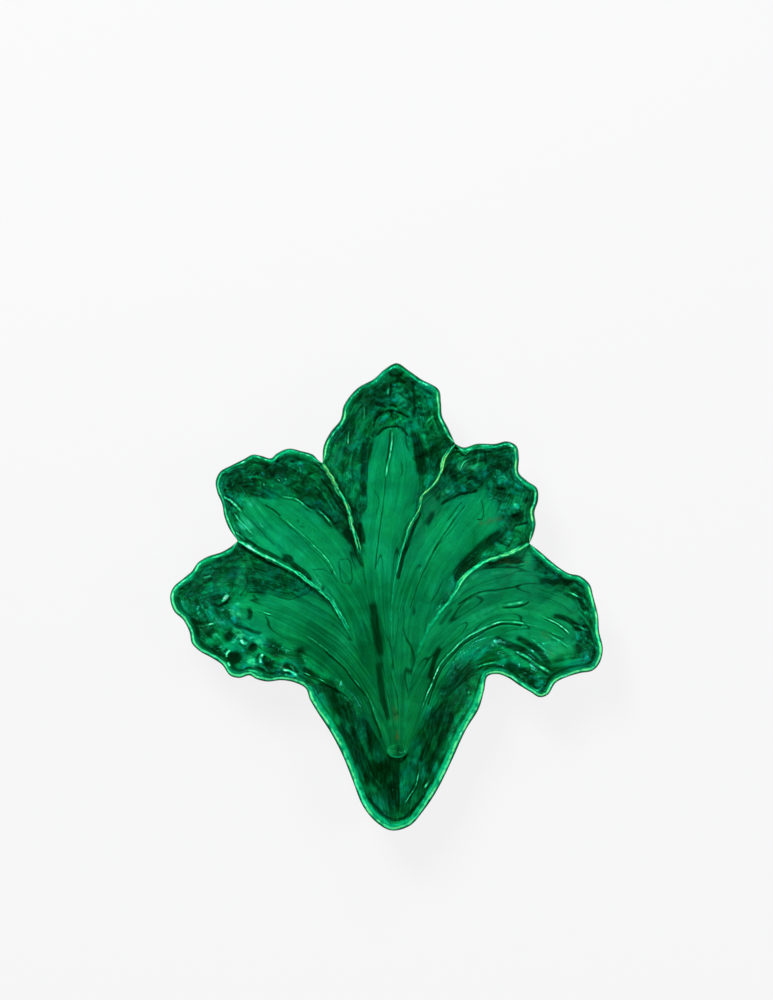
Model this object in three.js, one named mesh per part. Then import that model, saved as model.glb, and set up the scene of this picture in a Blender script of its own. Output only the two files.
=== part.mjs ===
// Salad platter in glazed earthenware: a bunch of five lettuce leaves fanned out of a deep stem cup.
// Each leaf and the cup is a pressed clay shell, luted to its neighbours with slip along the ridges where they
// meet. A rounded stalk end covers the point where the leaf stalks reach the cup, and an oval foot ring carries
// the flat base. Millimetres, +Z up, +Y towards the top leaf, the origin on the table under the platter's middle.
import * as THREE from 'three';
import { mergeVertices } from 'three/addons/utils/BufferGeometryUtils.js';

// Driving dimensions
const PLATTER_LENGTH = 390; // stem cup's tip to the top leaf's tip
const PLATTER_WIDTH = 361; // across the two lower leaves
const RIM_RISE = 36; // highest rim above the floor
const CLAY_WALL = 6; // height of clay between the upper face and the underside
const LIP_WIDTH = 4; // rounded lip, from the rim's crest to its outer edge
const RIB_HEIGHT = 1.4; // raised midrib on each leaf
const FOOT_HEIGHT = 6;
const FOOT_LENGTH = 146;
const FOOT_BREADTH = 130;
const FOOT_WALL = 7;
const BASE_MARGIN = 5; // flat base left outside the foot ring
const BASE_BLEND = 24; // width over which the underside leaves the flat base
const STALK_END_LENGTH = 12;
const STALK_END_BREADTH = 18;
const STALK_END_HEIGHT = 4;
const SEAM = 0.3; // slip seam between two pieces

// Levels that follow from them
const BASE_LEVEL = FOOT_HEIGHT + SEAM;
const FLOOR_LEVEL = BASE_LEVEL + CLAY_WALL;

// Mesh steps: along a seam, along half a leaf's free margin, up a wall and across the underside
const SEAM_STEPS = 13;
const MARGIN_STEPS = 22;
const WALL_STEPS = 4;
const UNDER_STEPS = 3;
const FOOT_STEPS = 48;
const STALK_END_STEPS = 24;
const STALK_END_RINGS = 6;
const CURVE_STEPS = 400; // steps in which a drawn curve's length is measured
const WELD = 1e-4; // points nearer than this are one point

// The platter as drawn in plan. Each point is [x, y, rise], x and y at the size it was drawn, and rise as a
// share of RIM_RISE. The drawing is stretched to PLATTER_LENGTH and PLATTER_WIDTH below.
const STALK_POINT = [9.5, -131];
const FOOT_POINT = [2, -8];

// Crests where two neighbours meet, from the stalk out to the notch in the rim, clockwise from the cup's left
const SEAMS = {
  cup_to_lower_left: [[-1, -131, 0], [-17, -104, 0.06], [-30, -87, 0.18], [-44, -78, 0.36], [-56, -75, 0.56],
    [-67, -77, 0.8]],
  lower_left_to_upper_left: [[3.4, -131, 0], [0, -104, 0], [-9, -79, 0.02], [-20, -52, 0.03], [-35, -25, 0.05],
    [-49, -2, 0.12], [-64, 10, 0.26], [-77, 20, 0.38], [-91, 28, 0.48], [-111, 38, 0.6], [-124, 46, 0.68]],
  upper_left_to_top: [[7.4, -131, 0], [5, -100, 0], [0, -71, 0.01], [-7, -37, 0.02], [-14, -4, 0.03],
    [-19, 21, 0.06], [-24, 40, 0.26], [-31, 70, 0.52], [-39, 88, 0.68], [-47, 102, 0.79], [-53, 111, 0.85]],
  top_to_upper_right: [[11.6, -131, 0], [11, -100, 0], [9, -71, 0.01], [5, -37, 0.03], [5, -4, 0.06],
    [8, 17, 0.12], [15, 43, 0.25], [20, 59, 0.36], [29, 75, 0.5], [31, 85, 0.57], [40, 93, 0.65],
    [47, 105, 0.74], [50, 116, 0.8], [58, 127, 0.84]],
  upper_right_to_lower_right: [[15.8, -131, 0], [18, -100, 0], [21, -71, 0.01], [28, -46, 0.02],
    [38, -25, 0.05], [46, -14, 0.1], [59, 3, 0.28], [66, 15, 0.4], [77, 25, 0.52], [93, 33, 0.64],
    [106, 36, 0.71], [120, 44, 0.78]],
  lower_right_to_cup: [[20, -131, 0], [35, -105, 0.08], [48, -89, 0.22], [60, -77, 0.38], [72, -70, 0.55],
    [85, -67, 0.75]],
};

// One leaf: the seams on its two sides, its midrib, and its free margin clockwise from one notch to the other.
// tip counts the margin's points up to the one that the midrib aims at, and notch is the share of the midrib
// that lies between the seams. floors gives the level share of each half, at shares of the way to the tip, and
// WALL_CURVE bends the wall that rises beyond it.
const WALL_CURVE = 1.25;
const LEAVES = {
  leaf_lower_left: {
    seams: ['cup_to_lower_left', 'lower_left_to_upper_left'],
    rib: [[1, -131, 0], [-4, -116, 0], [-10, -101, 0.01], [-21, -78, 0.02], [-31, -65, 0.03], [-46, -51, 0.05],
      [-64, -37, 0.08], [-85, -25, 0.12], [-104, -16, 0.17], [-122, -9, 0.24]],
    margin: [[-67, -77, 0.8], [-76, -72, 0.82], [-87, -70, 0.84], [-99, -71, 0.88], [-108, -69, 0.86],
      [-114, -66, 0.83], [-122, -68, 0.88], [-130, -66, 0.88], [-137, -57, 0.84], [-146, -51, 0.86],
      [-155, -46, 0.88], [-162, -39, 0.88], [-164, -30, 0.86], [-169, -20, 0.88], [-177, -12, 0.92],
      [-180, 0, 0.93], [-177, 8, 0.92], [-169, 15, 0.9], [-162, 21, 0.88], [-157, 28, 0.88], [-149, 33, 0.86],
      [-137, 37, 0.82], [-130, 41, 0.78], [-124, 46, 0.68]],
    tip: 15, notch: 0.72,
    floors: [
      [[0, 0.5], [0.3, 0.3], [0.42, 0.34], [0.52, 0.7], [0.63, 0.56], [0.73, 0.43], [0.82, 0.3], [0.88, 0.27],
        [1, 0.2]],
      [[0, 0.85], [0.45, 0.85], [0.52, 0.8], [0.61, 0.55], [0.69, 0.43], [0.8, 0.46], [0.87, 0.37], [1, 0.2]],
    ],
  },
  leaf_upper_left: {
    seams: ['lower_left_to_upper_left', 'upper_left_to_top'],
    rib: [[5.4, -131, 0], [0, -87, 0], [-9, -50, 0.01], [-20, -16, 0.02], [-35, 9, 0.05], [-46, 25, 0.09],
      [-64, 45, 0.16], [-89, 66, 0.27], [-109, 82, 0.38]],
    margin: [[-124, 46, 0.68], [-131, 56, 0.72], [-135, 66, 0.74], [-137, 77, 0.78], [-141, 87, 0.84],
      [-142, 96, 0.9], [-138, 104, 0.93], [-129, 109, 0.92], [-119, 114, 0.9], [-111, 118, 0.92],
      [-104, 117, 0.9], [-96, 115, 0.86], [-91, 119, 0.9], [-81, 123, 0.94], [-71, 121, 0.92], [-61, 118, 0.88],
      [-56, 113, 0.86], [-53, 111, 0.85]],
    tip: 6, notch: 0.84,
    floors: [
      [[0, 0.85], [0.4, 0.6], [0.6, 0.35], [0.8, 0.3], [1, 0.1]],
      [[0, 0.85], [0.55, 0.85], [0.6, 0.75], [0.66, 0.6], [0.71, 0.52], [0.78, 0.46], [0.83, 0.37], [0.9, 0.3],
        [0.96, 0.15], [1, 0.1]],
    ],
  },
  leaf_top: {
    seams: ['upper_left_to_top', 'top_to_upper_right'],
    rib: [[9.5, -131, 0], [6, -87, 0], [0, -46, 0.01], [-5, -4, 0.02], [-7, 38, 0.04], [-3, 76, 0.08],
      [1, 117, 0.16], [5, 139, 0.24]],
    margin: [[-53, 111, 0.85], [-52, 125, 0.9], [-46, 137, 0.9], [-38, 147, 0.88], [-35, 159, 0.92],
      [-24, 173, 0.94], [-10, 181, 0.93], [-1, 189, 0.97], [9, 194, 1], [19, 188, 0.98], [29, 181, 0.95],
      [44, 172, 0.97], [46, 161, 0.95], [47, 150, 0.92], [52, 140, 0.9], [58, 127, 0.84]],
    tip: 8, notch: 0.85,
    floors: [
      [[0, 0.85], [0.55, 0.85], [0.61, 0.7], [0.66, 0.66], [0.7, 0.55], [0.74, 0.36], [0.82, 0.3], [0.88, 0.28],
        [0.92, 0.35], [1, 0.12]],
      [[0, 0.85], [0.6, 0.85], [0.7, 0.72], [0.75, 0.66], [0.8, 0.57], [0.86, 0.43], [0.92, 0.36], [1, 0.12]],
    ],
  },
  leaf_upper_right: {
    seams: ['top_to_upper_right', 'upper_right_to_lower_right'],
    rib: [[13.7, -131, 0], [14, -87, 0], [13, -54, 0.01], [15, -25, 0.02], [21, -2, 0.04], [31, 23, 0.07],
      [43, 42, 0.11], [53, 60, 0.16], [70, 78, 0.26], [81, 92, 0.36]],
    margin: [[58, 127, 0.84], [65, 124, 0.84], [76, 127, 0.9], [91, 127, 0.9], [101, 129, 0.94],
      [109, 125, 0.96], [111, 115, 0.94], [111, 103, 0.9], [118, 96, 0.92], [126, 90, 0.94], [127, 80, 0.92],
      [124, 70, 0.88], [125, 60, 0.88], [123, 51, 0.84], [120, 44, 0.78]],
    tip: 5, notch: 0.86,
    floors: [
      [[0, 0.85], [0.4, 0.5], [0.6, 0.35], [0.8, 0.3], [1, 0.1]],
      [[0, 0.85], [0.5, 0.8], [0.64, 0.68], [0.78, 0.63], [0.86, 0.62], [0.9, 0.5], [0.94, 0.28], [1, 0.1]],
    ],
  },
  leaf_lower_right: {
    seams: ['upper_right_to_lower_right', 'lower_right_to_cup'],
    rib: [[17.9, -131, 0], [26, -111, 0], [32, -91, 0.01], [37, -76, 0.02], [44, -63, 0.03], [56, -50, 0.06],
      [73, -35, 0.1], [90, -25, 0.14], [107, -22, 0.18], [128, -26, 0.24], [145, -34, 0.34]],
    margin: [[120, 44, 0.78], [129, 37, 0.84], [137, 30, 0.86], [146, 23, 0.88], [153, 19, 0.86],
      [162, 17, 0.9], [170, 10, 0.93], [173, 0, 0.92], [177, -16, 0.92], [178, -29, 0.88], [181, -44, 0.92],
      [178, -56, 0.92], [172, -62, 0.9], [162, -64, 0.87], [152, -67, 0.84], [142, -72, 0.82], [135, -82, 0.88],
      [128, -84, 0.9], [121, -80, 0.86], [111, -74, 0.82], [102, -68, 0.78], [93, -65, 0.75], [85, -67, 0.75]],
    tip: 10, notch: 0.68,
    floors: [
      [[0, 0.85], [0.3, 0.5], [0.6, 0.3], [1, 0.2]],
      [[0, 0.4], [0.2, 0.1], [0.5, 0.1], [0.68, 0.2], [0.85, 0.4], [1, 0.2]],
    ],
  },
};

// The stem cup: its free margin, clockwise from the lower right leaf to the lower left, and its tip. It meets the
// leaves along their two outer seams, and its wall rises from there. floors gives its level share, from the crease
// that runs from the stalk to the tip, round to the notches.
const STEM_CUP = {
  seams: ['lower_right_to_cup', 'cup_to_lower_left'],
  margin: [[85, -67, 0.75], [81, -79, 0.78], [76, -94, 0.8], [66, -111, 0.82], [54, -137, 0.84],
    [42, -162, 0.86], [31, -179, 0.88], [20, -191, 0.89], [5, -195, 0.9], [-7, -189, 0.89], [-19, -175, 0.88],
    [-28, -153, 0.86], [-35, -133, 0.85], [-45, -113, 0.84], [-56, -97, 0.83], [-63, -86, 0.82],
    [-67, -77, 0.8]],
  tip: 8,
  floors: [[0, 0.6], [0.3, 0.2], [0.42, 0.18], [0.6, 0.02], [1, 0]],
};

// Glaze and bare clay, as photographed
const glaze = new THREE.MeshStandardMaterial({ color: 0x02784a, roughness: 0.12, metalness: 0 });
const bareClay = new THREE.MeshStandardMaterial({ color: 0xc9a37c, roughness: 0.85, metalness: 0 });

// Evenly spaced numbers from 0 to 1
const shares = (steps) => Array.from({ length: steps + 1 }, (_, i) => i / steps);

const drawnCurve = (points) =>
  new THREE.CatmullRomCurve3(points.map((p) => new THREE.Vector3(...p)), false, 'centripetal');

// Points along a stretch of a drawn curve, at equal steps of its length
function stretch(curve, from, to, steps) {
  curve.arcLengthDivisions = CURVE_STEPS;
  return shares(steps).map((t) => curve.getPointAt(from + (to - from) * t));
}

// Share of a curve's length at which it passes one of its own points
function lengthShare(curve, pointIndex, pointCount) {
  const lengths = curve.getLengths(CURVE_STEPS);
  return lengths[Math.round((CURVE_STEPS * pointIndex) / (pointCount - 1))] / lengths[CURVE_STEPS];
}

// Free margin of a leaf or the cup, as two runs that meet at its tip
function drawMargin({ margin, tip: tipIndex }) {
  const curve = drawnCurve(margin);
  const tip = lengthShare(curve, tipIndex, margin.length);
  return [stretch(curve, 0, tip, MARGIN_STEPS), stretch(curve, 1, tip, MARGIN_STEPS)];
}

const OUTLINED = { ...LEAVES, stem_cup: STEM_CUP };
const drawnMargins = Object.fromEntries(Object.entries(OUTLINED).map(([name, one]) => [name, drawMargin(one)]));
const drawnBox = new THREE.Box3().setFromPoints(Object.values(drawnMargins).flat(2));
const drawnSize = drawnBox.getSize(new THREE.Vector3());
const drawnMiddle = drawnBox.getCenter(new THREE.Vector3());

// A drawn point at its real place
function place(point) {
  return new THREE.Vector3(
    ((point.x - drawnMiddle.x) * PLATTER_WIDTH) / drawnSize.x,
    ((point.y - drawnMiddle.y) * PLATTER_LENGTH) / drawnSize.y,
    FLOOR_LEVEL + point.z * RIM_RISE,
  );
}

const stalkPlace = place(new THREE.Vector3(...STALK_POINT, 0));
const footPlace = place(new THREE.Vector3(...FOOT_POINT, 0));

// Unit vector in plan, square to a run of points and on its right
function rightOf(run, i) {
  const before = run[Math.max(i - 1, 0)];
  const after = run[Math.min(i + 1, run.length - 1)];
  return new THREE.Vector3(after.y - before.y, before.x - after.x, 0).normalize();
}

// A seam's crest, moved half a seam to one side: 1 is its right, seen from the stalk, and -1 its left. Its start
// moves off the line where the stalks meet the cup, 1 for a leaf and -1 for the cup.
function seamEdge(name, side, end) {
  const crest = stretch(drawnCurve(SEAMS[name]), 0, 1, SEAM_STEPS).map(place);
  const edge = crest.map((p, i) => p.clone().addScaledVector(rightOf(crest, i), (side * SEAM) / 2));
  edge[0].y += (end * SEAM) / 2;
  return edge.map((p) => ({ crest: p, outer: p, under: p }));
}

// A free margin as two runs from its notches to the tip: its outer edge, the crest inside it by the lip, and
// where the underside starts. The lip grows out of nothing at each notch.
const UNDER_INSET = 0.35;
function marginEdges([fromLeft, fromRight]) {
  const run = [...fromLeft, ...fromRight.slice(0, -1).reverse()].map(place);
  const edges = run.map((outer, i) => {
    const inward = rightOf(run, i);
    const fromNotch = Math.min(outer.distanceTo(run[0]), outer.distanceTo(run.at(-1)));
    const lip = LIP_WIDTH * Math.min(1, fromNotch / (2 * LIP_WIDTH));
    return {
      crest: outer.clone().addScaledVector(inward, lip),
      outer,
      under: outer.clone().addScaledVector(inward, lip * UNDER_INSET),
    };
  });
  return [edges.slice(0, MARGIN_STEPS + 1), edges.slice(MARGIN_STEPS).reverse()];
}

// Level of the underside below a point of the upper face: flat over the foot, then a clay wall below the face
function undersideLevel(x, y, upperLevel) {
  const fromFoot = new THREE.Vector2((x - footPlace.x) / FOOT_BREADTH, (y - footPlace.y) / FOOT_LENGTH).length();
  const beyondFoot = (fromFoot - 0.5) * Math.min(FOOT_BREADTH, FOOT_LENGTH);
  const leaving = THREE.MathUtils.smoothstep(beyondFoot, BASE_MARGIN, BASE_MARGIN + BASE_BLEND);
  return BASE_LEVEL + leaving * Math.max(0, upperLevel - CLAY_WALL - BASE_LEVEL);
}

// Section of half a leaf: from the midrib out over the upper face, round the lip and back under to the midrib
const RIB_SHARE = 0.1; // half width of the raised midrib, as a share of the half leaf
const RIB_START = 0.1; // shares of the midrib where it starts to rise and where it is full
const RIB_FULL = 0.3;
const LIP_ROUND = [{ out: 0.7, down: 0.15 }, { out: 1, down: 0.5 }];
function halfSection(rib, edge, floor, ribHeight) {
  const level = (t) => rib.z + (edge.crest.z - rib.z) * Math.max(0, (t - floor) / (1 - floor)) ** WALL_CURVE;
  const wallShares = shares(WALL_STEPS).map((t) => floor + (1 - floor) * t);
  const upper = [0, Math.min(RIB_SHARE, floor / 2), ...wallShares].map((t, row) => {
    const p = rib.clone().lerp(edge.crest, t);
    p.z = level(t) + (row === 0 ? ribHeight : 0);
    return p;
  });
  const under = shares(UNDER_STEPS).map((t) => {
    const p = rib.clone().lerp(edge.under, t);
    p.z = undersideLevel(p.x, p.y, level(t));
    return p;
  });
  const lowest = under[UNDER_STEPS];
  const lip = LIP_ROUND.map(({ out, down }) => {
    const p = edge.crest.clone().lerp(edge.outer, out);
    p.z = edge.crest.z + (lowest.z - edge.crest.z) * down;
    return p;
  });
  return [...upper, ...lip, ...under.reverse()];
}

// Skin between neighbouring sections, as loose triangles. Where sections close up at a notch, a triangle with no
// width is left out.
function skin(sections, turned, triangles) {
  const add = (a, b, c) => {
    if (!a.equals(b) && !b.equals(c) && !c.equals(a)) triangles.push(a, turned ? c : b, turned ? b : c);
  };
  for (let i = 1; i < sections.length; i++) {
    for (let j = 1; j < sections[i].length; j++) {
      const [a, b, c, d] = [sections[i - 1][j - 1], sections[i][j - 1], sections[i][j], sections[i - 1][j]];
      add(a, b, c);
      add(a, c, d);
    }
  }
}

// Cap over the stalk end of a leaf, a fan about its middle
function cap([left, right], triangles) {
  const outline = [...left[0], ...right[0].slice(1, -1).reverse()];
  const middle = left[0][0].clone().lerp(left[0].at(-1), 0.5);
  outline.forEach((p, i) => triangles.push(middle, p, outline[(i + 1) % outline.length]));
}

const solid = (triangles) => mergeVertices(new THREE.BufferGeometry().setFromPoints(triangles), WELD);

// Value at a share of the way, from a list of [share, value]
function valueAt(list, share) {
  const next = Math.max(1, list.findIndex(([at]) => at >= share));
  const [[from, a], [to, b]] = list.slice(next - 1, next + 1);
  return THREE.MathUtils.mapLinear(share, from, to, a, b);
}

// A leaf: both halves, from its stalk to its tip
function leafGeometry(name) {
  const { seams, rib: drawnRib, notch, floors } = LEAVES[name];
  const stations = [
    ...shares(SEAM_STEPS).map((t) => t * notch),
    ...shares(MARGIN_STEPS).slice(1).map((t) => notch + t * (1 - notch)),
  ];
  const ribCurve = drawnCurve(drawnRib);
  const margins = marginEdges(drawnMargins[name]);
  const halves = [0, 1].map((half) => {
    const edges = [...seamEdge(seams[half], half === 0 ? 1 : -1, 1), ...margins[half].slice(1)];
    return stations.map((station, i) => {
      const rib = place(ribCurve.getPointAt(station));
      if (i === 0) rib.y += SEAM / 2;
      const ribHeight = RIB_HEIGHT * THREE.MathUtils.smoothstep(station, RIB_START, RIB_FULL);
      return halfSection(rib, edges[i], valueAt(floors[half], station), ribHeight);
    });
  });
  const triangles = [];
  skin(halves[0], false, triangles);
  skin(halves[1], true, triangles);
  cap(halves, triangles);
  return solid(triangles);
}

// The stem cup: sections from its inner edge, along the stalk and the leaves' seams, out to its rim
function stemCupGeometry() {
  const { seams, floors } = STEM_CUP;
  const margins = marginEdges(drawnMargins.stem_cup);
  const middle = stalkPlace.clone().setY(stalkPlace.y - SEAM / 2);
  const stalkSteps = MARGIN_STEPS - SEAM_STEPS;
  const triangles = [];
  [0, 1].forEach((half) => {
    const seam = seamEdge(seams[half], half === 0 ? 1 : -1, -1).map((edge) => edge.crest);
    const alongStalk = shares(stalkSteps).slice(0, -1).map((t) => middle.clone().lerp(seam[0], t));
    const inner = [...alongStalk, ...seam];
    const edges = margins[half].toReversed();
    inner[MARGIN_STEPS] = edges[MARGIN_STEPS].crest;
    const sections = inner.map((p, i) => {
      const section = halfSection(p, edges[i], valueAt(floors, i / MARGIN_STEPS), 0);
      const [top, bottom] = [section[0], section.at(-1)];
      const innerWall = LIP_ROUND.map(({ down }) => top.clone().lerp(bottom, down)).reverse();
      return [...section, ...innerWall, top];
    });
    skin(sections, half === 0, triangles);
  });
  return solid(triangles);
}

// Oval ring of bare clay under the base
function footGeometry() {
  const oval = (path, wall) =>
    path.absellipse(0, 0, FOOT_BREADTH / 2 - wall, FOOT_LENGTH / 2 - wall, 0, 2 * Math.PI, false, 0);
  const ring = oval(new THREE.Shape(), 0);
  ring.holes.push(oval(new THREE.Path(), FOOT_WALL));
  return new THREE.ExtrudeGeometry(ring, {
    depth: FOOT_HEIGHT,
    bevelEnabled: false,
    curveSegments: FOOT_STEPS,
  });
}

// Low dome with an oval flat base
function stalkEndGeometry() {
  const profile = shares(STALK_END_RINGS).map((t) => {
    const turn = (t * Math.PI) / 2;
    return new THREE.Vector2(Math.cos(turn) / 2, Math.sin(turn) * STALK_END_HEIGHT);
  });
  return new THREE.LatheGeometry([new THREE.Vector2(0, 0), ...profile], STALK_END_STEPS)
    .rotateX(Math.PI / 2)
    .scale(STALK_END_BREADTH, STALK_END_LENGTH, 1);
}

function piece(name, geometry, material) {
  const mesh = new THREE.Mesh(geometry, material);
  mesh.name = name;
  return mesh;
}

const platter = new THREE.Group();
Object.keys(LEAVES).forEach((name) => platter.add(piece(name, leafGeometry(name), glaze)));
platter.add(piece('stem_cup', stemCupGeometry(), glaze));

const stalkEnd = piece('stalk_end', stalkEndGeometry(), glaze);
stalkEnd.position.set(stalkPlace.x, stalkPlace.y, FLOOR_LEVEL + SEAM);
platter.add(stalkEnd);

const foot = piece('foot_ring', footGeometry(), bareClay);
foot.position.set(footPlace.x, footPlace.y, 0);
platter.add(foot);

export default platter;
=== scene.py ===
import math

import bpy
import numpy as np
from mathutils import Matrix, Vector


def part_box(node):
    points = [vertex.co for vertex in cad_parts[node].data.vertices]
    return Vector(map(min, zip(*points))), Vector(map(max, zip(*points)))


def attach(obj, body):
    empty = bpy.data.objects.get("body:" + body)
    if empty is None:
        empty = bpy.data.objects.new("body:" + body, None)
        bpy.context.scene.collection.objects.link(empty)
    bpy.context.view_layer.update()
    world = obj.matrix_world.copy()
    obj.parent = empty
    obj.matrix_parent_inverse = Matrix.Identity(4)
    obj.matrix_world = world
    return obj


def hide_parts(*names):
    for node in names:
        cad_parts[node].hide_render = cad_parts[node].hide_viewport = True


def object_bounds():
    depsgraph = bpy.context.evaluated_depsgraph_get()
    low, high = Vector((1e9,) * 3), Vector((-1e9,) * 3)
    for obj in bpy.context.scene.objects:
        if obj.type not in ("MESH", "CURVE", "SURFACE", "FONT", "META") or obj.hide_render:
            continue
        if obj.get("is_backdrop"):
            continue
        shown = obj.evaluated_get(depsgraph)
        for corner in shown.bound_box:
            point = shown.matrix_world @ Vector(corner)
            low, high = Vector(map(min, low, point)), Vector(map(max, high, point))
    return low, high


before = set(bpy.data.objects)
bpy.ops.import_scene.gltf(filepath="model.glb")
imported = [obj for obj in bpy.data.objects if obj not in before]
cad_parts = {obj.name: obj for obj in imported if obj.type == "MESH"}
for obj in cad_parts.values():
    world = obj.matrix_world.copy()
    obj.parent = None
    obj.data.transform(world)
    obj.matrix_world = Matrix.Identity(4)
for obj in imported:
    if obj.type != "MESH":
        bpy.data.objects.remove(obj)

CAD_LOW, CAD_HIGH = (np.array(corner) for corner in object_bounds())


# Leaves
# Five lettuce leaves with their stalks, each pressed in a plaster mould from clay about 6 mm thick. They
# are luted edge to edge with slip along the ridges between them, and one glossy green glaze runs over all.
MM = 0.001

# The platter as drawn in plan: x and y in millimetres, and the rise as a share of the highest rim's height.
# The crests between neighbours run from the stalk to the notch in the rim, clockwise from the cup's left
SEAMS = {
    "cup_to_lower_left": [
        (-1, -131, 0), (-17, -104, 0.06), (-30, -87, 0.18), (-44, -78, 0.36), (-56, -75, 0.56),
        (-67, -77, 0.8)],
    "lower_left_to_upper_left": [
        (3.4, -131, 0), (0, -104, 0), (-9, -79, 0.02), (-20, -52, 0.03), (-35, -25, 0.05),
        (-49, -2, 0.12), (-64, 10, 0.26), (-77, 20, 0.38), (-91, 28, 0.48), (-111, 38, 0.6),
        (-124, 46, 0.68)],
    "upper_left_to_top": [
        (7.4, -131, 0), (5, -100, 0), (0, -71, 0.01), (-7, -37, 0.02), (-14, -4, 0.03), (-19, 21, 0.06),
        (-24, 40, 0.26), (-31, 70, 0.52), (-39, 88, 0.68), (-47, 102, 0.79), (-53, 111, 0.85)],
    "top_to_upper_right": [
        (11.6, -131, 0), (11, -100, 0), (9, -71, 0.01), (5, -37, 0.03), (5, -4, 0.06), (8, 17, 0.12),
        (15, 43, 0.25), (20, 59, 0.36), (29, 75, 0.5), (31, 85, 0.57), (40, 93, 0.65), (47, 105, 0.74),
        (50, 116, 0.8), (58, 127, 0.84)],
    "upper_right_to_lower_right": [
        (15.8, -131, 0), (18, -100, 0), (21, -71, 0.01), (28, -46, 0.02), (38, -25, 0.05), (46, -14, 0.1),
        (59, 3, 0.28), (66, 15, 0.4), (77, 25, 0.52), (93, 33, 0.64), (106, 36, 0.71), (120, 44, 0.78)],
    "lower_right_to_cup": [
        (20, -131, 0), (35, -105, 0.08), (48, -89, 0.22), (60, -77, 0.38), (72, -70, 0.55),
        (85, -67, 0.75)],
}

# How pale each crest is, as thin glaze with a painted highlight, at shares of the way from the stalk
CREST_GLOW = {
    "lower_left_to_upper_left": [(0, 0), (0.45, 0.1), (0.56, 1.0), (1, 1.7)],
    "upper_left_to_top": [(0, 0), (0.67, 0), (0.7, 1.5), (0.85, 1.4), (1, 1)],
    "top_to_upper_right": [(0, 0), (0.3, 0.1), (0.5, 0.3), (0.65, 0.9), (1, 1.2)],
    "upper_right_to_lower_right": [(0, 0), (0.35, 0.1), (0.5, 0.35), (0.6, 0.7), (0.75, 1.0), (1, 1.05)],
}

# How yellow that thin glaze is
CREST_WARM = {"upper_left_to_top": 1.0, "top_to_upper_right": 1.0, "upper_right_to_lower_right": 0.8}
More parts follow.
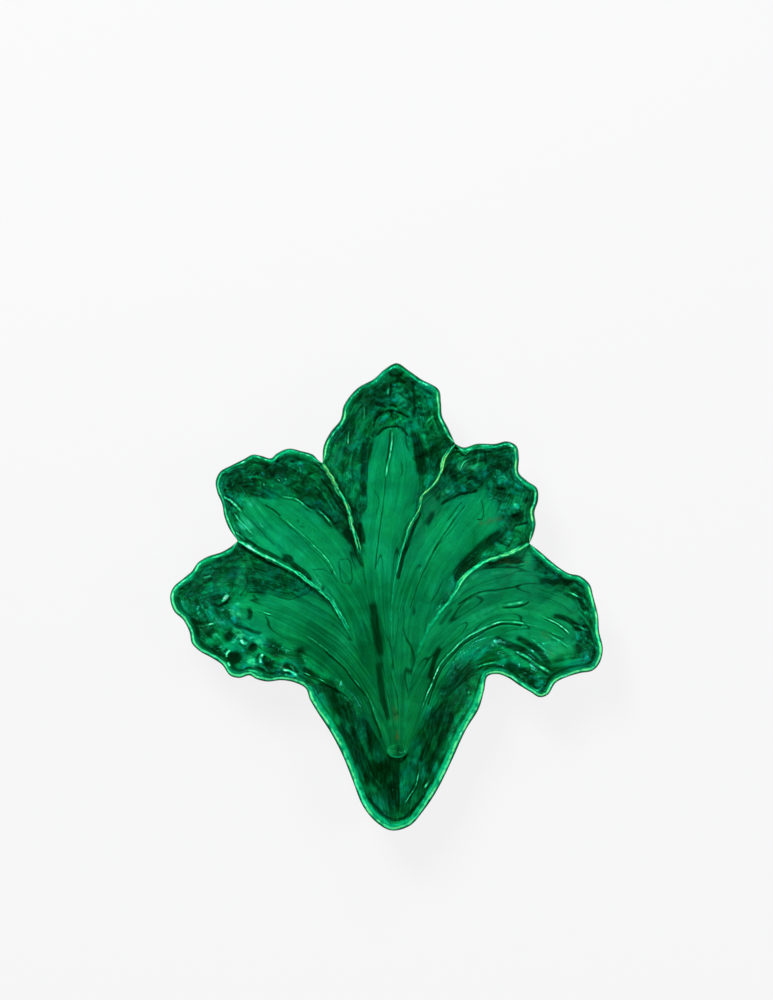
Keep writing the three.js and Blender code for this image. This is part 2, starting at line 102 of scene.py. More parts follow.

# What is drawn of each leaf, with lengths in millimetres:
# seams: the crests on its two sides
# rib: its midrib
# margin: its free edge, clockwise from one notch to the other
# tip: how many of the margin's points come before the one that the midrib aims at
# notch: the share of the midrib that lies between the seams
# shade: how dark the shade painted beside the ridge is on each side
# rim: the thin glaze and painted highlight on the lip: place and half width on the lip's turn, strength,
# yellowness and paleness
# floors: the level share of each half, at shares of the way to the tip
# light: how far the floor's painted light reaches, where that isn't the level share
# soft: how softly that painted light ends in each half
# strokes: veins and folds, with painted shade and painted highlights: points, half width, height, and tone
# (dark below 0)
# crinkles: pinched clay: points, radius and strength
# blisters: x, y, radius and height
# rust: brown stains in the glaze: points, half width and strength
LEAVES = {
    "leaf_lower_left": {
        "seams": ("cup_to_lower_left", "lower_left_to_upper_left"),
        "rib": [
            (1, -131, 0), (-4, -116, 0), (-10, -101, 0.01), (-21, -78, 0.02), (-31, -65, 0.03),
            (-46, -51, 0.05), (-64, -37, 0.08), (-85, -25, 0.12), (-104, -16, 0.17), (-122, -9, 0.24)],
        "margin": [
            (-67, -77, 0.8), (-76, -72, 0.82), (-87, -70, 0.84), (-99, -71, 0.88), (-108, -69, 0.86),
            (-114, -66, 0.83), (-122, -68, 0.88), (-130, -66, 0.88), (-137, -57, 0.84), (-146, -51, 0.86),
            (-155, -46, 0.88), (-162, -39, 0.88), (-164, -30, 0.86), (-169, -20, 0.88), (-177, -12, 0.92),
            (-180, 0, 0.93), (-177, 8, 0.92), (-169, 15, 0.9), (-162, 21, 0.88), (-157, 28, 0.88),
            (-149, 33, 0.86), (-137, 37, 0.82), (-130, 41, 0.78), (-124, 46, 0.68)],
        "tip": 15,
        "notch": 0.72,
        "shade": (1.0, 1.0),
        "rim": (0.16, 0.065, 1.5, 0.3, 0.2),
        "floors": (
            [(0, 0.5), (0.3, 0.3), (0.42, 0.34), (0.52, 0.7), (0.63, 0.56), (0.73, 0.43), (0.82, 0.3),
             (0.88, 0.27), (1, 0.2)],
            [(0, 0.85), (0.45, 0.85), (0.52, 0.8), (0.61, 0.55), (0.69, 0.43), (0.8, 0.46), (0.87, 0.37),
             (1, 0.2)]),
        "soft": (4.0, 3.5),
        "strokes": [
            ([(-103, -14), (-96, -16)], 0.6, 0.4, 1.2),
            ([(-80, -25), (-65, -35), (-50, -46), (-35, -60), (-26, -71), (-13, -88), (-9, -100),
              (-2, -120)], 0.6, 0.4, 0.45),
            ([(-52, -46), (-37, -60), (-28, -71), (-15, -88), (-11, -100), (-4, -120)], 0.6, -0.3, -0.7),
            ([(-46, -25), (-43, -25)], 3.0, -0.2, -0.5),
            ([(-145, -6), (-140, -9), (-133, -5)], 1.3, -1.2, -1.0),
            ([(-117, -9), (-114, -15), (-116, -22)], 2.2, -1.2, -1.0),
            ([(-128, -25), (-116, -28), (-104, -33)], 1.6, -0.8, -0.9),
            ([(-164, -22), (-157, -25), (-148, -24)], 0.6, 0.6, 0.7),
            ([(-163, -19), (-156, -22), (-148, -21)], 1.0, -0.8, -0.8),
            ([(-122, -37), (-119, -39.5), (-116, -40)], 1.0, 0.5, 1.7),
            ([(-130, -24), (-122, -32), (-118, -37)], 3.0, 0.3, 0.5),
            ([(-122, -36), (-117, -41)], 3.0, 0.3, 0.4),
            ([(-104, -40), (-91, -46), (-76, -52), (-66, -62)], 4.0, -1.0, -0.7),
            ([(-115, 3), (-101, 2), (-81, -3), (-66, 2), (-62, 6)], 0.6, -0.3, -0.8),
            ([(-116, 17), (-117, 8), (-123, -1)], 0.6, -0.6, -0.8),
            ([(-133, -9), (-128, -14), (-126, -20)], 4.0, 0.6, 0.35),
            ([(-98, 18), (-84, 11), (-70, 6)], 5.0, -0.2, -0.5),
            ([(-139, -5), (-131, 2)], 2.8, 0.6, 0.65),
            ([(-137, -5.5), (-134.5, -2), (-132, 1.5)], 1.2, 0.4, 2.0),
            ([(-152, 15), (-146, 17)], 0.9, 0.3, 1.2),
            ([(-141, 12), (-137, 9)], 3.4, 0.3, 0.5),
            ([(-128, 10), (-122, 12), (-118, 8)], 4.4, 0.3, 0.5),
            ([(-122, -12), (-124, -20)], 4.6, 0.3, 0.5),
            ([(-112, -36), (-103, -41)], 3.0, 0.3, 0.5),
            ([(-126, 18), (-120, 15)], 4.0, 0.2, 0.3),
            ([(-130.5, -44.5), (-132.8, -48), (-133.2, -52)], 0.9, 0.3, 1.9),
            ([(-132.5, -55), (-130, -58.5)], 1.2, 0.3, 1.7),
            ([(-117, -49), (-113, -55), (-110, -61)], 4.2, 0.3, 0.6),
            ([(-134, -47), (-136, -53), (-132, -60)], 2.6, 0.3, 0.4),
            ([(-128, -46), (-126.5, -51), (-124, -57)], 3.4, -0.6, -1.2),
            ([(-115, -42), (-109.5, -44.5)], 2.6, -0.6, -1.2),
            ([(-103, -48.5), (-104.8, -52), (-104.5, -56)], 1.1, 0.3, 2.2),
            ([(-102, -58.5), (-99, -62)], 1.0, 0.3, 1.5),
            ([(-90, -56), (-84, -62)], 3.4, 0.3, 0.6),
            ([(-108, -50), (-109, -56), (-105, -62)], 3.0, 0.3, 0.5),
            ([(-101, -53), (-99, -58), (-95, -62)], 2.8, -0.6, -1.2),
            ([(-135, -32), (-129, -36)], 3.2, -0.4, -0.9),
            ([(-142, -43), (-139, -47)], 2.2, -0.4, -1.0),
            ([(-87, -61), (-80, -63), (-73, -66)], 1.1, 0.3, 2.3),
            ([(-85, -65), (-76, -67)], 1.0, 0.3, 2.1),
            ([(-81, -58), (-76, -62)], 0.7, 0.3, 1.3),
            ([(-88, -62), (-80, -64), (-72, -67)], 3.6, 0.3, 0.65),
            ([(-70, -60), (-62, -65), (-55, -70)], 2.2, -0.4, -0.9),
            ([(-118, -62), (-110, -62), (-102, -66)], 1.4, 0.3, 1.2),
            ([(-70, -63), (-58, -69), (-50, -73)], 0.5, 0.3, 1.5),
            ([(-158, -41), (-148, -48), (-138, -54)], 1.4, 0.3, 1.1),
            ([(-149, -24), (-144, -23)], 0.7, 0.3, 1.5),
            ([(-143, -47), (-139, -45)], 0.8, 0.3, 1.5),
            ([(-123, 46), (-115, 42), (-106, 36), (-97, 31), (-89, 27)], 1.4, 0.3, 2.2),
        ],
        "crinkles": [
            ([(-76, -66), (-110, -60), (-140, -47)], 10, 0.35),
            ([(-150, -10), (-152, 8)], 25, 0.45),
            ([(-140, 24), (-110, 20)], 12, 0.5),
        ],
        "blisters": [
            (-126.5, -51.5, 5.0, -3.4), (-111.5, -44, 3.6, -2.8), (-131.5, -34, 4.5, -2.2),
            (-153, 4.5, 2.2, -1.3), (-97, -57, 3.4, -2.6), (-72, -47, 5.0, -1.6), (-93, -46, 6.5, -1.3),
            (-142, -43, 4.0, -1.6), (-129, 9, 3.0, -1.2), (-84, -58, 3.5, -1.6), (-148, -30, 4.0, -1.4),
            (-136.5, 0.5, 3.8, 2.2), (-126.5, -11, 5.0, 1.8), (-127, -20.5, 3.5, 2.0),
            (-126.5, 15.5, 5.0, 1.6), (-103, -54.5, 3.2, 2.6), (-78, -64.5, 4.0, 2.2),
            (-118, -58, 4.0, 1.8), (-120, -46, 2.5, 1.8), (-138, -53, 3.0, 1.8), (-109, -36, 4.0, 1.2),
            (-90, -63, 3.0, 1.8), (-147, -14, 4.0, 1.2), (-160, 2, 4.0, 0.9), (-142, 11, 3.5, 1.2),
        ],
    },
    "leaf_upper_left": {
        "seams": ("lower_left_to_upper_left", "upper_left_to_top"),
        "rib": [
            (5.4, -131, 0), (0, -87, 0), (-9, -50, 0.01), (-20, -16, 0.02), (-35, 9, 0.05),
            (-46, 25, 0.09), (-64, 45, 0.16), (-89, 66, 0.27), (-109, 82, 0.38)],
        "margin": [
            (-124, 46, 0.68), (-131, 56, 0.72), (-135, 66, 0.74), (-137, 77, 0.78), (-141, 87, 0.84),
            (-142, 96, 0.9), (-138, 104, 0.93), (-129, 109, 0.92), (-119, 114, 0.9), (-111, 118, 0.92),
            (-104, 117, 0.9), (-96, 115, 0.86), (-91, 119, 0.9), (-81, 123, 0.94), (-71, 121, 0.92),
            (-61, 118, 0.88), (-56, 113, 0.86), (-53, 111, 0.85)],
        "tip": 6,
        "notch": 0.84,
        "shade": (0.3, 1.0),
        "rim": (0.16, 0.055, 1.0, 0.2, -0.5),
        "floors": (
            [(0, 0.85), (0.4, 0.6), (0.6, 0.35), (0.8, 0.3), (1, 0.1)],
            [(0, 0.85), (0.55, 0.85), (0.6, 0.75), (0.66, 0.6), (0.71, 0.52), (0.78, 0.46), (0.83, 0.37),
             (0.9, 0.3), (0.96, 0.15), (1, 0.1)]),
        "light": (
            [(0, 1.2), (0.85, 1.2), (0.93, 0.6), (1, 0.1)],
            None),
        "soft": (3.0, 1.2),
        "strokes": [
            ([(-102, 77), (-94, 71), (-88, 66)], 0.9, -0.4, -0.9),
            ([(-88, 67), (-78, 58), (-65, 46), (-51, 32), (-38, 11)], 0.5, 0.4, 1.1),
            ([(-90, 66), (-80, 57), (-67, 44), (-53, 30), (-40, 10)], 0.5, -0.3, -0.7),
            ([(-136, 83), (-128, 78), (-120, 70)], 0.8, 0.9, 1.6),
            ([(-120, 70), (-108, 57), (-93, 42)], 0.8, -0.4, -0.5),
            ([(-88, 83), (-76, 81), (-66, 74), (-61, 71)], 0.6, 0.4, 1.3),
            ([(-58, 73), (-51, 66), (-43, 57)], 0.8, 0.4, 1.4),
            ([(-89, 32.5), (-82, 31), (-77, 27)], 3.4, -0.8, -1.3),
            ([(-80, 28), (-73, 22.5), (-66, 16), (-63, 11)], 2.4, -0.8, -1.1),
            ([(-55, 7), (-51, 5)], 3.2, -0.6, -0.9),
            ([(-75, 62.5), (-72, 63)], 1.5, -0.2, -1.0),
            ([(-70.5, 60.5), (-68.5, 60)], 1.3, -0.2, -0.9),
            ([(-73, 58.5), (-70, 57.5), (-67.5, 58.5)], 0.6, -0.2, -0.7),
            ([(-84, 96), (-64, 85), (-48, 68), (-38, 54)], 9.0, -0.4, -0.5),
            ([(-62, 95), (-50, 82), (-42, 68)], 0.6, 0.4, 0.7),
            ([(-55, 99), (-46, 87), (-38, 72)], 0.9, -0.4, -0.9),
            ([(-32, 72), (-28, 56), (-24.4, 41.5)], 0.9, 0.3, 1.3),
            ([(-36, 58), (-31, 49), (-26, 41)], 3.6, -0.6, -1.0),
            ([(-40, 30), (-31, 30), (-30, 10), (-36, 11), (-40, 30)], 0.5, -0.2, -0.8),
            ([(-62, 22), (-51, 21), (-46, 18), (-44, 22)], 0.5, -0.2, -0.7),
            ([(-134, 66), (-130, 57), (-123, 51), (-115, 45), (-106, 39), (-96, 34),
              (-88, 29)], 0.6, 0.3, 0.9),
            ([(-123, 46), (-115, 42), (-106, 36), (-97, 31), (-89, 27)], 1.4, 0.3, 2.2),
            ([(-128, 71), (-120, 60), (-110, 50)], 0.6, 0.3, 0.8),
            ([(-102.5, 94.5), (-102, 92)], 0.6, 0.4, 1.7),
            ([(-91, 97.5), (-89, 96)], 0.5, 0.4, 1.6),
            ([(-84.5, 98.5), (-83.5, 97)], 0.9, 0.4, 1.4),
            ([(-74, 110), (-71, 104), (-73, 98)], 0.6, 0.4, 0.9),
            ([(-99, 105), (-96, 105)], 1.3, -0.3, -0.9),
            ([(-62, 115), (-56, 110), (-50, 104)], 0.7, 0.4, 1.3),
            ([(-11.8, -3), (-9.5, -20), (-6.5, -38), (-4.8, -55)], 4.2, -0.5, -0.9),
            ([(-5, -52), (-4.8, -72), (-0.7, -96), (2, -108)], 3.4, -0.5, -0.75),
        ],
        "crinkles": [
            ([(-132, 92), (-105, 105), (-75, 110)], 18, 0.7),
        ],
        "blisters": [],
    },
    "leaf_top": {
        "seams": ("upper_left_to_top", "top_to_upper_right"),
        "rib": [
            (9.5, -131, 0), (6, -87, 0), (0, -46, 0.01), (-5, -4, 0.02), (-7, 38, 0.04), (-3, 76, 0.08),
            (1, 117, 0.16), (5, 139, 0.24)],
        "margin": [
            (-53, 111, 0.85), (-52, 125, 0.9), (-46, 137, 0.9), (-38, 147, 0.88), (-35, 159, 0.92),
            (-24, 173, 0.94), (-10, 181, 0.93), (-1, 189, 0.97), (9, 194, 1), (19, 188, 0.98),
            (29, 181, 0.95), (44, 172, 0.97), (46, 161, 0.95), (47, 150, 0.92), (52, 140, 0.9),
            (58, 127, 0.84)],
        "tip": 8,
        "notch": 0.85,
        "shade": (0.8, 0.8),
        "rim": (0.12, 0.055, 0.8, 0.7, -0.5),
        "floors": (
            [(0, 0.85), (0.55, 0.85), (0.61, 0.7), (0.66, 0.66), (0.7, 0.55), (0.74, 0.36), (0.82, 0.3),
             (0.88, 0.28), (0.92, 0.35), (1, 0.12)],
            [(0, 0.85), (0.6, 0.85), (0.7, 0.72), (0.75, 0.66), (0.8, 0.57), (0.86, 0.43), (0.92, 0.36),
             (1, 0.12)]),
        "soft": (0.6, 0.6),
        "strokes": [
            ([(6, 139), (4, 124), (2, 111), (0, 98)], 0.6, 0.6, 1.3),
            ([(4, 139), (2, 124), (0, 111)], 0.5, -0.3, -0.8),
            ([(0, 100), (-2, 80), (-4, 63), (-7, 42), (-9, 21)], 0.6, -0.3, -0.8),
            ([(13, 113), (13, 101), (6, 97)], 0.5, -0.2, -0.8),
            ([(-10, 88), (-6, 80), (-8, 67)], 0.5, -0.2, -0.7),
            ([(-31, 138), (-32, 126)], 0.6, 0.6, 1.6),
            ([(-11, 140), (-9, 148), (-1, 154), (10, 154), (20, 149)], 1.1, -0.7, -0.9),
            ([(-8, 134), (-2, 140), (12, 141), (19, 133)], 1.1, -0.7, -0.95),
            ([(-12, 128), (-15, 112), (-16, 96)], 0.7, -0.4, -0.6),
            ([(-17, 132), (-19, 108), (-19, 80)], 3.0, -0.4, -0.8),
            ([(23, 140), (28, 122), (30, 98)], 4.2, -0.5, -1.2),
            ([(22, 180), (24, 163), (24, 148)], 1.4, -0.9, -0.7),
            ([(42, 138), (41, 118), (36, 98)], 6.0, -0.3, -0.7),
            ([(-28, 76), (-25, 66)], 3.6, -0.5, -1.0),
            ([(-32, 72), (-28, 56), (-24.4, 41.5)], 0.9, 0.3, 1.3),
            ([(-22, 63), (-20, 50), (-19, 42)], 2.2, -0.6, -1.0),
            ([(33, 143), (38, 149), (43, 149)], 0.8, 0.8, 0.9),
            ([(37, 141), (40, 140)], 2.8, -0.6, -0.9),
            ([(2.5, 174), (1.5, 168)], 0.7, 0.4, 1.2),
            ([(4, 179), (5, 170)], 1.3, -0.5, -0.9),
            ([(-18, 161), (-18.6, 144)], 0.7, 0.5, 0.6),
            ([(-13, 134), (-12, 132)], 0.7, 0.4, 1.5),
            ([(-16, 133), (-14, 129)], 1.0, -0.4, -0.9),
            ([(8, 174), (14, 165), (14, 156)], 4.5, 0.3, 0.25),
            ([(7.5, -96), (9.5, -103)], 3.0, -0.2, -0.7),
            ([(-11.8, -3), (-9.5, -20), (-6.5, -38), (-4.8, -55)], 4.2, -0.5, -0.9),
            ([(-5, -52), (-4.8, -72), (-0.7, -96), (2, -108)], 3.4, -0.5, -0.75),
        ],
        "crinkles": [
            ([(5, 172), (5, 160)], 28, 0.9),
            ([(-40, 135), (-30, 158)], 14, 0.5),
            ([(44, 160), (50, 135)], 12, 0.5),
        ],
        "blisters": [],
        "rust": [([(8, -96), (9, -104)], 3.2, 0.35), ([(9.6, -115), (10, -121)], 1.3, 0.9)],
    },
    "leaf_upper_right": {
        "seams": ("top_to_upper_right", "upper_right_to_lower_right"),
        "rib": [
            (13.7, -131, 0), (14, -87, 0), (13, -54, 0.01), (15, -25, 0.02), (21, -2, 0.04),
            (31, 23, 0.07), (43, 42, 0.11), (53, 60, 0.16), (70, 78, 0.26), (81, 92, 0.36)],
        "margin": [
            (58, 127, 0.84), (65, 124, 0.84), (76, 127, 0.9), (91, 127, 0.9), (101, 129, 0.94),
            (109, 125, 0.96), (111, 115, 0.94), (111, 103, 0.9), (118, 96, 0.92), (126, 90, 0.94),
            (127, 80, 0.92), (124, 70, 0.88), (125, 60, 0.88), (123, 51, 0.84), (120, 44, 0.78)],
        "tip": 5,
        "notch": 0.86,
        "shade": (0.5, 1.0),
        "rim": (0.11, 0.06, 0.85, 1.0, -1.0),
        "floors": (
            [(0, 0.85), (0.4, 0.5), (0.6, 0.35), (0.8, 0.3), (1, 0.1)],
            [(0, 0.85), (0.5, 0.8), (0.64, 0.68), (0.78, 0.63), (0.86, 0.62), (0.9, 0.5), (0.94, 0.28),
             (1, 0.1)]),
        "light": (
            [(0, 1.2), (0.7, 1.2), (0.76, 0.58), (0.86, 0.3), (0.96, 0.05), (1, 0)],
            None),
        "soft": (4.0, 4.0),
        "strokes": [
            ([(67, 76), (50, 53), (41, 38), (34, 24), (26, 6), (20, -11)], 0.6, -0.4, -0.8),
            ([(65, 77), (49, 55), (39, 39), (31, 24), (24, 9)], 0.5, 0.4, 0.4),
            ([(51, 62), (58, 71), (64, 79)], 0.5, -0.3, -0.8),
            ([(39, 36), (50, 49), (60, 61)], 0.5, -0.3, -0.7),
            ([(45, 76), (53, 80), (63, 85), (78, 88)], 1.2, -0.9, -0.95),
            ([(34, 57), (37, 64), (40, 72)], 2.4, -0.6, -0.8),
            ([(80, 81), (82, 70), (80, 64), (76, 64)], 0.6, -0.2, -0.8),
            ([(29, 70), (22, 53), (18, 42), (14, 30), (10, 13)], 1.6, -0.7, -1.0),
            ([(55, 12), (69, 28), (83, 42), (101, 56)], 4.6, -0.8, -0.95),
            ([(107, 58), (113, 60), (119, 62)], 1.3, -0.7, -1.0),
            ([(93, 50), (99, 46), (106, 45)], 0.6, 0.6, 0.6),
            ([(92, 47), (99, 43), (105, 42)], 1.0, -0.6, -0.9),
            ([(51, 117), (56, 121), (63, 121), (66, 118), (71, 122), (84, 124)], 0.6, 0.5, 1.2),
            ([(47, 104), (51, 111), (57, 111)], 0.6, 0.5, 1.1),
            ([(58, 103), (64, 109), (72, 108), (80, 105)], 3.6, 0.3, 0.45),
            ([(63, 106), (65, 111), (70, 114)], 0.5, 0.3, 0.5),
            ([(44, 82), (51, 87), (58, 90)], 3.0, 0.3, 0.45),
            ([(46, 79), (52, 83), (58, 88)], 0.6, 0.3, 0.8),
            ([(86, 80), (93, 82), (99, 79)], 0.6, 0.6, 0.45),
            ([(92, 99), (98, 100), (103, 95)], 0.5, 0.7, 0.5),
            ([(92, 92), (96, 89), (101, 91)], 1.4, -0.6, -0.95),
            ([(107, 78), (110, 72)], 1.5, 0.6, 0.8),
            ([(104, 69), (109, 66), (114, 68)], 2.0, -0.8, -1.0),
            ([(77, 122), (77, 108)], 1.2, 0.3, 0.5),
            ([(52, 22), (70, 45), (88, 68)], 8.0, -0.1, -0.3),
            ([(83, 122), (83, 108)], 1.4, -0.4, -0.7),
        ],
        "crinkles": [
            ([(106, 92), (115, 60)], 18, 0.45),
            ([(72, 116), (100, 115)], 14, 0.4),
            ([(58, 108), (66, 98)], 12, 0.6),
        ],
        "blisters": [
            (54, 103, 4.6, -1.8), (65, 104, 5.0, 1.6), (55, 87, 5.0, 1.6), (63, 91, 4.0, 1.4),
            (96, 94, 5.0, 1.6), (96, 90, 2.6, -2.2), (109.5, 74.5, 4.0, 2.6), (110.5, 67, 4.2, -3.0),
            (100, 107, 4.0, -1.4), (112, 90, 4.0, 1.2), (118, 80, 3.0, -1.4), (82, 104, 5.0, 1.0),
            (74, 97, 4.0, -1.2),
        ],
        "rust": [([(80, 61), (88, 63), (96, 65)], 2.0, 0.4)],
    },
    "leaf_lower_right": {
        "seams": ("upper_right_to_lower_right", "lower_right_to_cup"),
        "rib": [
            (17.9, -131, 0), (26, -111, 0), (32, -91, 0.01), (37, -76, 0.02), (44, -63, 0.03),
            (56, -50, 0.06), (73, -35, 0.1), (90, -25, 0.14), (107, -22, 0.18), (128, -26, 0.24),
            (145, -34, 0.34)],
        "margin": [
            (120, 44, 0.78), (129, 37, 0.84), (137, 30, 0.86), (146, 23, 0.88), (153, 19, 0.86),
            (162, 17, 0.9), (170, 10, 0.93), (173, 0, 0.92), (177, -16, 0.92), (178, -29, 0.88),
            (181, -44, 0.92), (178, -56, 0.92), (172, -62, 0.9), (162, -64, 0.87), (152, -67, 0.84),
            (142, -72, 0.82), (135, -82, 0.88), (128, -84, 0.9), (121, -80, 0.86), (111, -74, 0.82),
            (102, -68, 0.78), (93, -65, 0.75), (85, -67, 0.75)],
        "tip": 10,
        "notch": 0.68,
        "shade": (0.2, 1.0),
        "rim": (0.165, 0.065, 1.4, 0.55, 0.3),
        "floors": (
            [(0, 0.85), (0.3, 0.5), (0.6, 0.3), (1, 0.2)],
            [(0, 0.4), (0.2, 0.1), (0.5, 0.1), (0.68, 0.2), (0.85, 0.4), (1, 0.2)]),
        "light": (
            [(0, 1.2), (0.6, 1.2), (0.75, 0.8), (0.9, 0.7), (1, 0.6)],
            [(0, 0.1), (0.2, 0.05), (0.5, 0.08), (0.68, 0.4), (0.85, 0.7), (1, 0.6)]),
        "soft": (7.0, 6.0),
        "strokes": [
            ([(29, -101), (32, -91), (39, -73), (46, -58), (59, -43), (74, -32), (86, -26), (101, -22),
              (114, -23), (132, -27)], 0.6, 1.0, 1.4),
            ([(35, -93), (41, -75), (48, -61), (60, -46), (75, -35), (87, -28), (102, -24), (114, -25)],
             0.6, -0.6, -1.0),
            ([(60, -8), (71, -1), (81, 3), (102, 6), (114, 9)], 0.6, -0.6, -1.0),
            ([(61, -10), (72, -3), (82, 1), (102, 4)], 1.2, 0.3, 0.3),
            ([(99, -8), (107, -7), (116, -6)], 0.9, 0.5, 1.1),
            ([(97, -10), (108, -10), (117, -8), (121, -5)], 0.8, -0.5, -1.0),
            ([(109, -46), (120, -52), (129, -59), (139, -65)], 1.0, 1.3, 1.8),
            ([(90, -35), (103, -41), (116, -47), (133, -60)], 3.4, -0.5, -1.0),
            ([(108, -34), (120, -41), (131, -49), (138, -60)], 3.0, -0.8, -0.95),
            ([(99, -55), (114, -62), (128, -70)], 3.4, -0.8, -0.8),
            ([(131, -17), (141, -22), (150, -28), (154, -32)], 0.5, 0.6, 1.7),
            ([(138, -16), (152, -20), (164, -30)], 2.6, -0.7, -0.95),
            ([(58, -3), (68, 11), (80, 21)], 2.4, 0.2, 0.35),
            ([(66, -22), (90, -12), (122, -11), (146, -17)], 6.0, 0.2, 0.18),
            ([(120, -32), (138, -40), (152, -52)], 5.0, 0.2, 0.18),
            ([(80, -53), (66, -60), (55, -73), (46, -92)], 8.5, -0.3, -0.65),
            ([(99, 27), (108, 26), (117, 27)], 0.7, 0.4, 1.4),
            ([(82, 25), (98, 29), (118, 30)], 4.2, -0.4, -0.9),
            ([(86, 19), (100, 20), (113, 20)], 2.6, 0.2, 0.25),
            ([(46, -42), (41, -55), (36, -72)], 2.4, -0.5, -0.95),
            ([(56, -10), (50, -19), (44, -26)], 2.2, -0.3, -0.6),
            ([(152, 4), (158, 1), (164, -2)], 0.6, 0.5, 1.2),
            ([(162, 4), (163, -5), (167, -14)], 2.2, -0.9, -1.0),
            ([(166, -22), (169, -30), (171, -38)], 2.0, -0.9, -0.95),
            ([(156, -24), (163, -26), (170, -29)], 0.8, 0.5, 1.0),
            ([(135, -32), (146, -38), (155, -44)], 0.7, 0.6, 0.8),
            ([(122, -36), (132, -44), (144, -50)], 0.6, 0.6, 0.6),
            ([(126, 12), (142, 12), (156, 9)], 3.0, -0.6, -0.85),
            ([(75, -60), (84, -57), (93, -55)], 0.7, 0.3, 1.0),
            ([(118, -75), (126, -78), (131, -76)], 0.8, 0.4, 1.5),
            ([(55, 20), (62, 17)], 1.6, -0.6, -0.9),
        ],
        "crinkles": [
            ([(165, -30), (168, -48)], 16, 0.7),
            ([(150, 10), (135, 25)], 16, 0.6),
            ([(128, -75), (118, -70)], 12, 0.8),
        ],
        "blisters": [],
        "rust": [
            ([(133, -32), (136, -35)], 2.0, 0.35), ([(138, -47), (140, -49)], 2.0, 0.35),
            ([(94, 29), (105, 27.5), (119, 28)], 0.7, 0.8), ([(98, 31), (112, 30)], 0.5, 0.6)],
    },
}

# The cup's free margin belongs to the same outline, clockwise from the lower right leaf to the lower left
CUP_MARGIN = [
    (85, -67, 0.75), (82, -79, 0.78), (77.5, -94, 0.8), (67, -111, 0.82), (55, -137, 0.84),
    (42.5, -162, 0.86), (31, -179, 0.88), (20, -191, 0.89), (5, -195, 0.9), (-7, -189, 0.89),
    (-19, -175, 0.88), (-28, -153, 0.86), (-36, -133, 0.85), (-46.5, -113, 0.84), (-57, -97, 0.83),
    (-63.5, -86, 0.82), (-67, -77, 0.8)]
CURVE_STEPS = 24  # fine steps between two drawn points


def curve_through(points, before=None, after=None):
    """Fine polyline through drawn points, with rounded bends. It may lead in from a point before them and
    on to one after."""
    points = np.array(points, float)
    before = 2 * points[0] - points[1] if before is None else before
    after = 2 * points[-1] - points[-2] if after is None else after
    run = np.vstack([before, points, after])
    knots = np.concatenate([[0], np.cumsum(np.linalg.norm(np.diff(run, axis=0), axis=1) ** 0.5)])

    def between(a, b, at_a, at_b, at):
        return ((at_b - at) * a + (at - at_a) * b) / (at_b - at_a)

    line = []
    for k in range(len(points) - 1):
        p, t = run[k:k + 4], knots[k:k + 4]
        at = np.linspace(t[1], t[2], CURVE_STEPS, endpoint=False)[:, None]
        first = [between(p[m], p[m + 1], t[m], t[m + 1], at) for m in range(3)]
        second = [between(first[m], first[m + 1], t[m], t[m + 2], at) for m in range(2)]
        line.append(between(second[0], second[1], t[1], t[2], at))
    return np.vstack(line + [points[-1:]])


def length_shares(line):
    """Share of a polyline's length at each of its points."""
    steps = np.linalg.norm(np.diff(line, axis=0), axis=1)
    return np.concatenate([[0], np.cumsum(steps)]) / steps.sum()


def spaced(line, shares):
    """Points at shares of a polyline's length."""
    at = length_shares(line)
    return np.column_stack([np.interp(shares, at, column) for column in line.T])


def value_at(pairs, shares):
    """Values at shares of the way, from a list of (share, value)."""
    return np.interp(shares, *np.array(pairs, float).T)


def smooth(low, high, values):
    """0 below low, 1 above high, and an even curve between."""
    t = np.clip((values - low) / (high - low), 0, 1)
    return t * t * (3 - 2 * t)


DRAWN_MARGINS = [leaf["margin"] for leaf in LEAVES.values()] + [CUP_MARGIN]
OUTLINE = np.vstack([curve_through(margin) for margin in DRAWN_MARGINS])
DRAWN_LOW, DRAWN_HIGH = OUTLINE[:, :2].min(axis=0), OUTLINE[:, :2].max(axis=0)
BASE_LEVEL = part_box("leaf_top")[0][2]
CLAY_WALL = 6 * MM
FLOOR_LEVEL = BASE_LEVEL + CLAY_WALL
RIM_RISE = CAD_HIGH[2] - FLOOR_LEVEL


def place(points):
    """Drawn points at their real place, in metres."""
    points = np.array(points, float)
    shares = (points[..., :2] - DRAWN_LOW) / (DRAWN_HIGH - DRAWN_LOW)
    plan = CAD_LOW[:2] + shares * (CAD_HIGH - CAD_LOW)[:2]
    rise = points[..., 2:3] if points.shape[-1] > 2 else np.zeros_like(plan[..., :1])
    return np.concatenate([plan, FLOOR_LEVEL + rise * RIM_RISE], axis=-1)


def margin_runs(margin, tip, steps, before=None, after=None):
    """A free margin as two runs of points, from its notches to its tip."""
    line = curve_through(margin, before, after)
    tip_share = length_shares(line)[tip * CURVE_STEPS]
    shares = np.linspace(0, 1, steps + 1)
    return [place(spaced(line, shares * tip_share)), place(spaced(line, 1 - shares * (1 - tip_share)))]


LIP_WIDTH = 4 * MM
LIP_GROWTH = 40 * MM  # distance from a notch at which the lip has its full width
UNDER_INSET = 0.35  # share of the lip's width by which the underside starts further in


